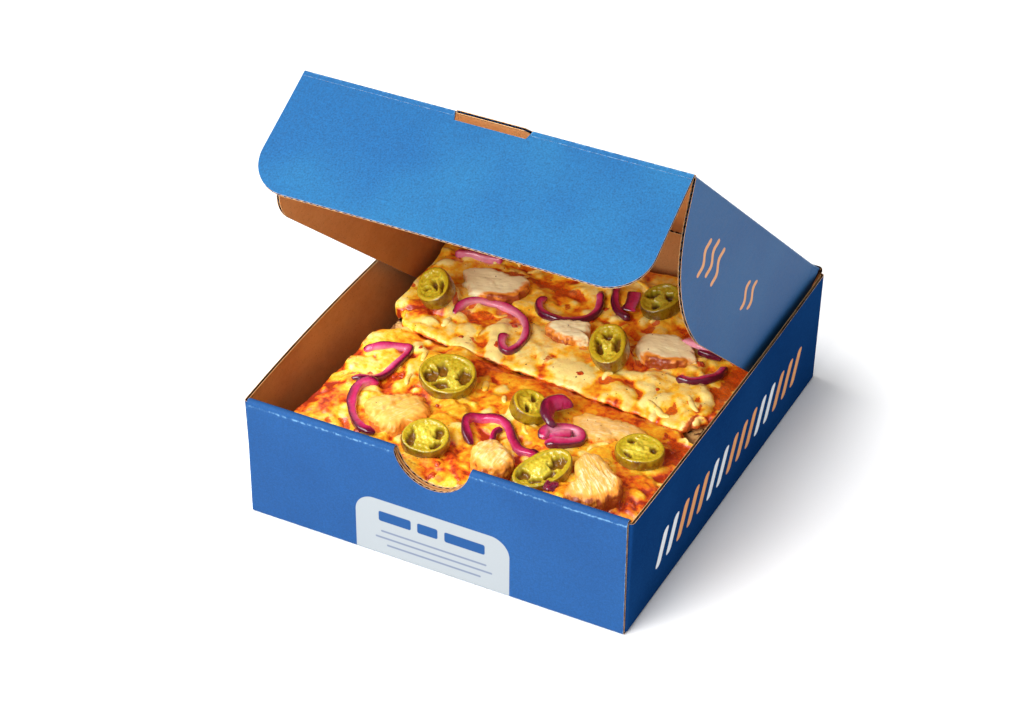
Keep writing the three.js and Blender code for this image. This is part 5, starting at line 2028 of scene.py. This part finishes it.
def scatter_shreds(pizza, surface, draw):
    """Separate strands of melted cheese, each laid along the relief."""
    bm = bmesh.new()
    melt, _, _ = number_layers(bm, "melt", "sauce", "toast")
    for _ in range(pizza.loose_count):
        x, y = draw.uniform(-86, 88), draw.uniform(-102, 94)
        heading, curl = draw.uniform(0, 2 * pi), draw.uniform(-0.35, 0.35)
        length, radius = draw.uniform(6, 13), draw.uniform(1.1, 1.9)
        points = []
        for _ in range(5):
            place, _ = drop(surface, x, y)
            if place is None:
                break
            points.append(place + UP * (draw.uniform(0, 0.4) - radius * 0.1))
            heading += curl + draw.uniform(-0.3, 0.3)
            x, y = x + cos(heading) * length / 4, y + sin(heading) * length / 4
        if len(points) < 5 or max(p.z for p in points) - min(p.z for p in points) > 2.2:
            continue
        flat = draw.uniform(0.5, 0.8)

        def section(share, turn):
            size = radius * (0.35 + 0.65 * sqrt(max(0.0, sin(pi * share))))
            return size * cos(turn), size * flat * sin(turn)

        tone = draw.uniform(0.55, 1.0)
        for vert in sweep(bm, spline(points, 12), 8, section):
            vert[melt] = tone
    close_holes(bm)
    solidified("cheese_shreds", bm, [bpy.data.materials["melted cheese"]], "root")


def scatter(name, finish, surface, places, sizes, flat, draw):
    """Small flattened grains, each turned its own way on the surface under its place."""
    bm = bmesh.new()
    for x, y in places:
        place, normal = drop(surface, x, y)
        size = draw.uniform(*sizes)
        turn = Matrix.Rotation(draw.uniform(0, 2 * pi), 4, "Z")
        grow = Matrix.Diagonal((size * draw.uniform(0.6, 1.5), size, size * flat, 1))
        if place is None:
            continue
        face = normal.to_track_quat("Z", "Y").to_matrix().to_4x4()
        matrix = Matrix.Translation(place + normal * size * flat * 0.25) @ face @ turn @ grow
        detail = 1 if sizes[1] < 1 else 3
        grain = bmesh.ops.create_icosphere(bm, subdivisions=detail, radius=1)["verts"]
        shift = Vector((x, y, 0))
        for vert in grain:
            vert.co *= 1 + 0.6 * noise(vert.co * 1.5 + shift)
        bmesh.ops.transform(bm, matrix=matrix, verts=grain)
    solidified(name, bm, [finish], "root")


class PIZZACARTON_OT_scraps(bpy.types.Operator):
    """Scatter loose cheese shreds, specks of herb, bits of tomato and crumbs"""

    bl_idname = "pizzacarton.scraps"
    bl_label = "Shreds, specks and crumbs"

    def execute(self, context):
        pizza = context.scene.pizza_food
        cheese = surface_under(*CHEESE)
        scatter_shreds(pizza, cheese, random.Random(5))
        toppings = [f"chicken_piece_{number}" for number in CHICKEN]
        top = surface_under(*CHEESE, *toppings)
        draw = random.Random(8)
        inside = lambda: (draw.uniform(-88, 90), draw.uniform(-103, 96))
        herb = small_finish("herb specks", pizza.herb_colour, pizza.pepper_colour, 3, 0.6)
        places = [inside() for _ in range(220)]
        scatter("herb_specks", herb, top, places, (0.2, 0.45), 0.4, draw)
        tomato = small_finish("tomato bits", pizza.sauce_colour, pizza.sauce_dark, 2, 0.25, 0.6)
        places = [inside() for _ in range(26)] + list(TOMATO_BITS)
        scatter("tomato_bits", tomato, cheese, places, (0.9, 2.1), 0.32, draw)
        onion = small_finish("dark onion bits", pizza.onion_deep, pizza.onion_skin, 2, 0.2, 0.6)
        scatter("dark_onion_bits", onion, cheese, DARK_BITS, (2.6, 3.6), 0.55, draw)
        card = surface_under("card_board")
        crumb = small_finish("crumbs", pizza.crust_colour, pizza.crust_dark, 1, 0.8)
        places = [(-draw.uniform(89, 98), draw.uniform(-100, 108)) for _ in range(40)]
        places += [(draw.uniform(-88, 90), draw.uniform(100, 109)) for _ in range(30)]
        scatter("crumbs", crumb, card, places, (0.35, 0.9), 0.8, draw)
        return {"FINISHED"}


# Stage


def lay_floor():
    bm = bmesh.new()
    bmesh.ops.create_grid(bm, x_segments=4, y_segments=4, size=4.0)
    floor = object_from("floor", bm)
    finish = Finish("pale floor", roughness=0.75, specular_ior_level=0.2)
    finish.colour((0.95, 0.95, 0.95))
    floor.data.materials.append(finish.material)


def hang_lights(context, stage):
    world = bpy.data.worlds.new("studio")
    world.use_nodes = True
    background = world.node_tree.nodes["Background"]
    background.inputs["Color"].default_value = (1, 1, 1, 1)
    background.inputs["Strength"].default_value = stage.sky
    context.scene.world = world
    sun = bpy.data.lights.new("key", "SUN")
    sun.energy = stage.sun
    sun.angle = radians(42)
    made = linked("key", sun)
    made.rotation_euler = Vector((-0.56, -0.22, 1.1)).to_track_quat("Z", "Y").to_euler()
    panel = bpy.data.lights.new("front fill", "AREA")
    panel.energy = stage.fill
    panel.size = 0.8
    made = linked("front fill", panel)
    made.location = (-0.2, -1.02, 0.8)
    made.rotation_euler = (made.location - Vector((0, 0, 0.06))).to_track_quat("Z", "Y").to_euler()


def place_camera(context, stage):
    data = bpy.data.cameras.new("camera")
    data.lens, data.sensor_width = stage.lens, 36
    data.clip_start, data.clip_end = 0.05, 20
    camera = linked("camera", data)
    turn = (
        Matrix.Rotation(stage.yaw, 4, "Z")
        @ Matrix.Rotation(pi / 2 - stage.pitch, 4, "X")
        @ Matrix.Rotation(stage.roll, 4, "Z")
    )
    camera.matrix_world = Matrix.Translation(stage.location) @ turn
    context.scene.camera = camera


class PIZZACARTON_OT_stage(bpy.types.Operator):
    """Set up the floor, the lights and the camera"""

    bl_idname = "pizzacarton.stage"
    bl_label = "Stage"

    def execute(self, context):
        stage = context.scene.pizza_stage
        lay_floor()
        hang_lights(context, stage)
        place_camera(context, stage)
        context.scene.view_settings.view_transform = "Standard"
        return {"FINISHED"}


# Panel and run

OPERATORS = (
    PIZZACARTON_OT_tray,
    PIZZACARTON_OT_lid,
    PIZZACARTON_OT_divider,
    PIZZACARTON_OT_slices,
    PIZZACARTON_OT_chillies,
    PIZZACARTON_OT_onions,
    PIZZACARTON_OT_chicken,
    PIZZACARTON_OT_scraps,
    PIZZACARTON_OT_stage,
)


class PIZZACARTON_PT_panel(bpy.types.Panel):
    """Lists the pieces that can be built"""

    bl_idname = "PIZZACARTON_PT_panel"
    bl_label = "Pizza carton"
    bl_space_type = "VIEW_3D"
    bl_region_type = "UI"
    bl_category = "Pizza carton"

    def draw(self, context):
        for operator in OPERATORS:
            self.layout.operator(operator.bl_idname)


CLASSES = (CartonSettings, PizzaSettings, StageSettings, *OPERATORS, PIZZACARTON_PT_panel)


def register():
    for entry in CLASSES:
        bpy.utils.register_class(entry)
    bpy.types.Scene.pizza_carton = bpy.props.PointerProperty(type=CartonSettings)
    bpy.types.Scene.pizza_food = bpy.props.PointerProperty(type=PizzaSettings)
    bpy.types.Scene.pizza_stage = bpy.props.PointerProperty(type=StageSettings)


def unregister():
    del bpy.types.Scene.pizza_carton
    del bpy.types.Scene.pizza_food
    del bpy.types.Scene.pizza_stage
    for entry in reversed(CLASSES):
        bpy.utils.unregister_class(entry)


def main():
    register()
    for operator in OPERATORS:
        group, name = operator.bl_idname.split(".")
        getattr(getattr(bpy.ops, group), name)()


if __name__ == "__main__":
    main()
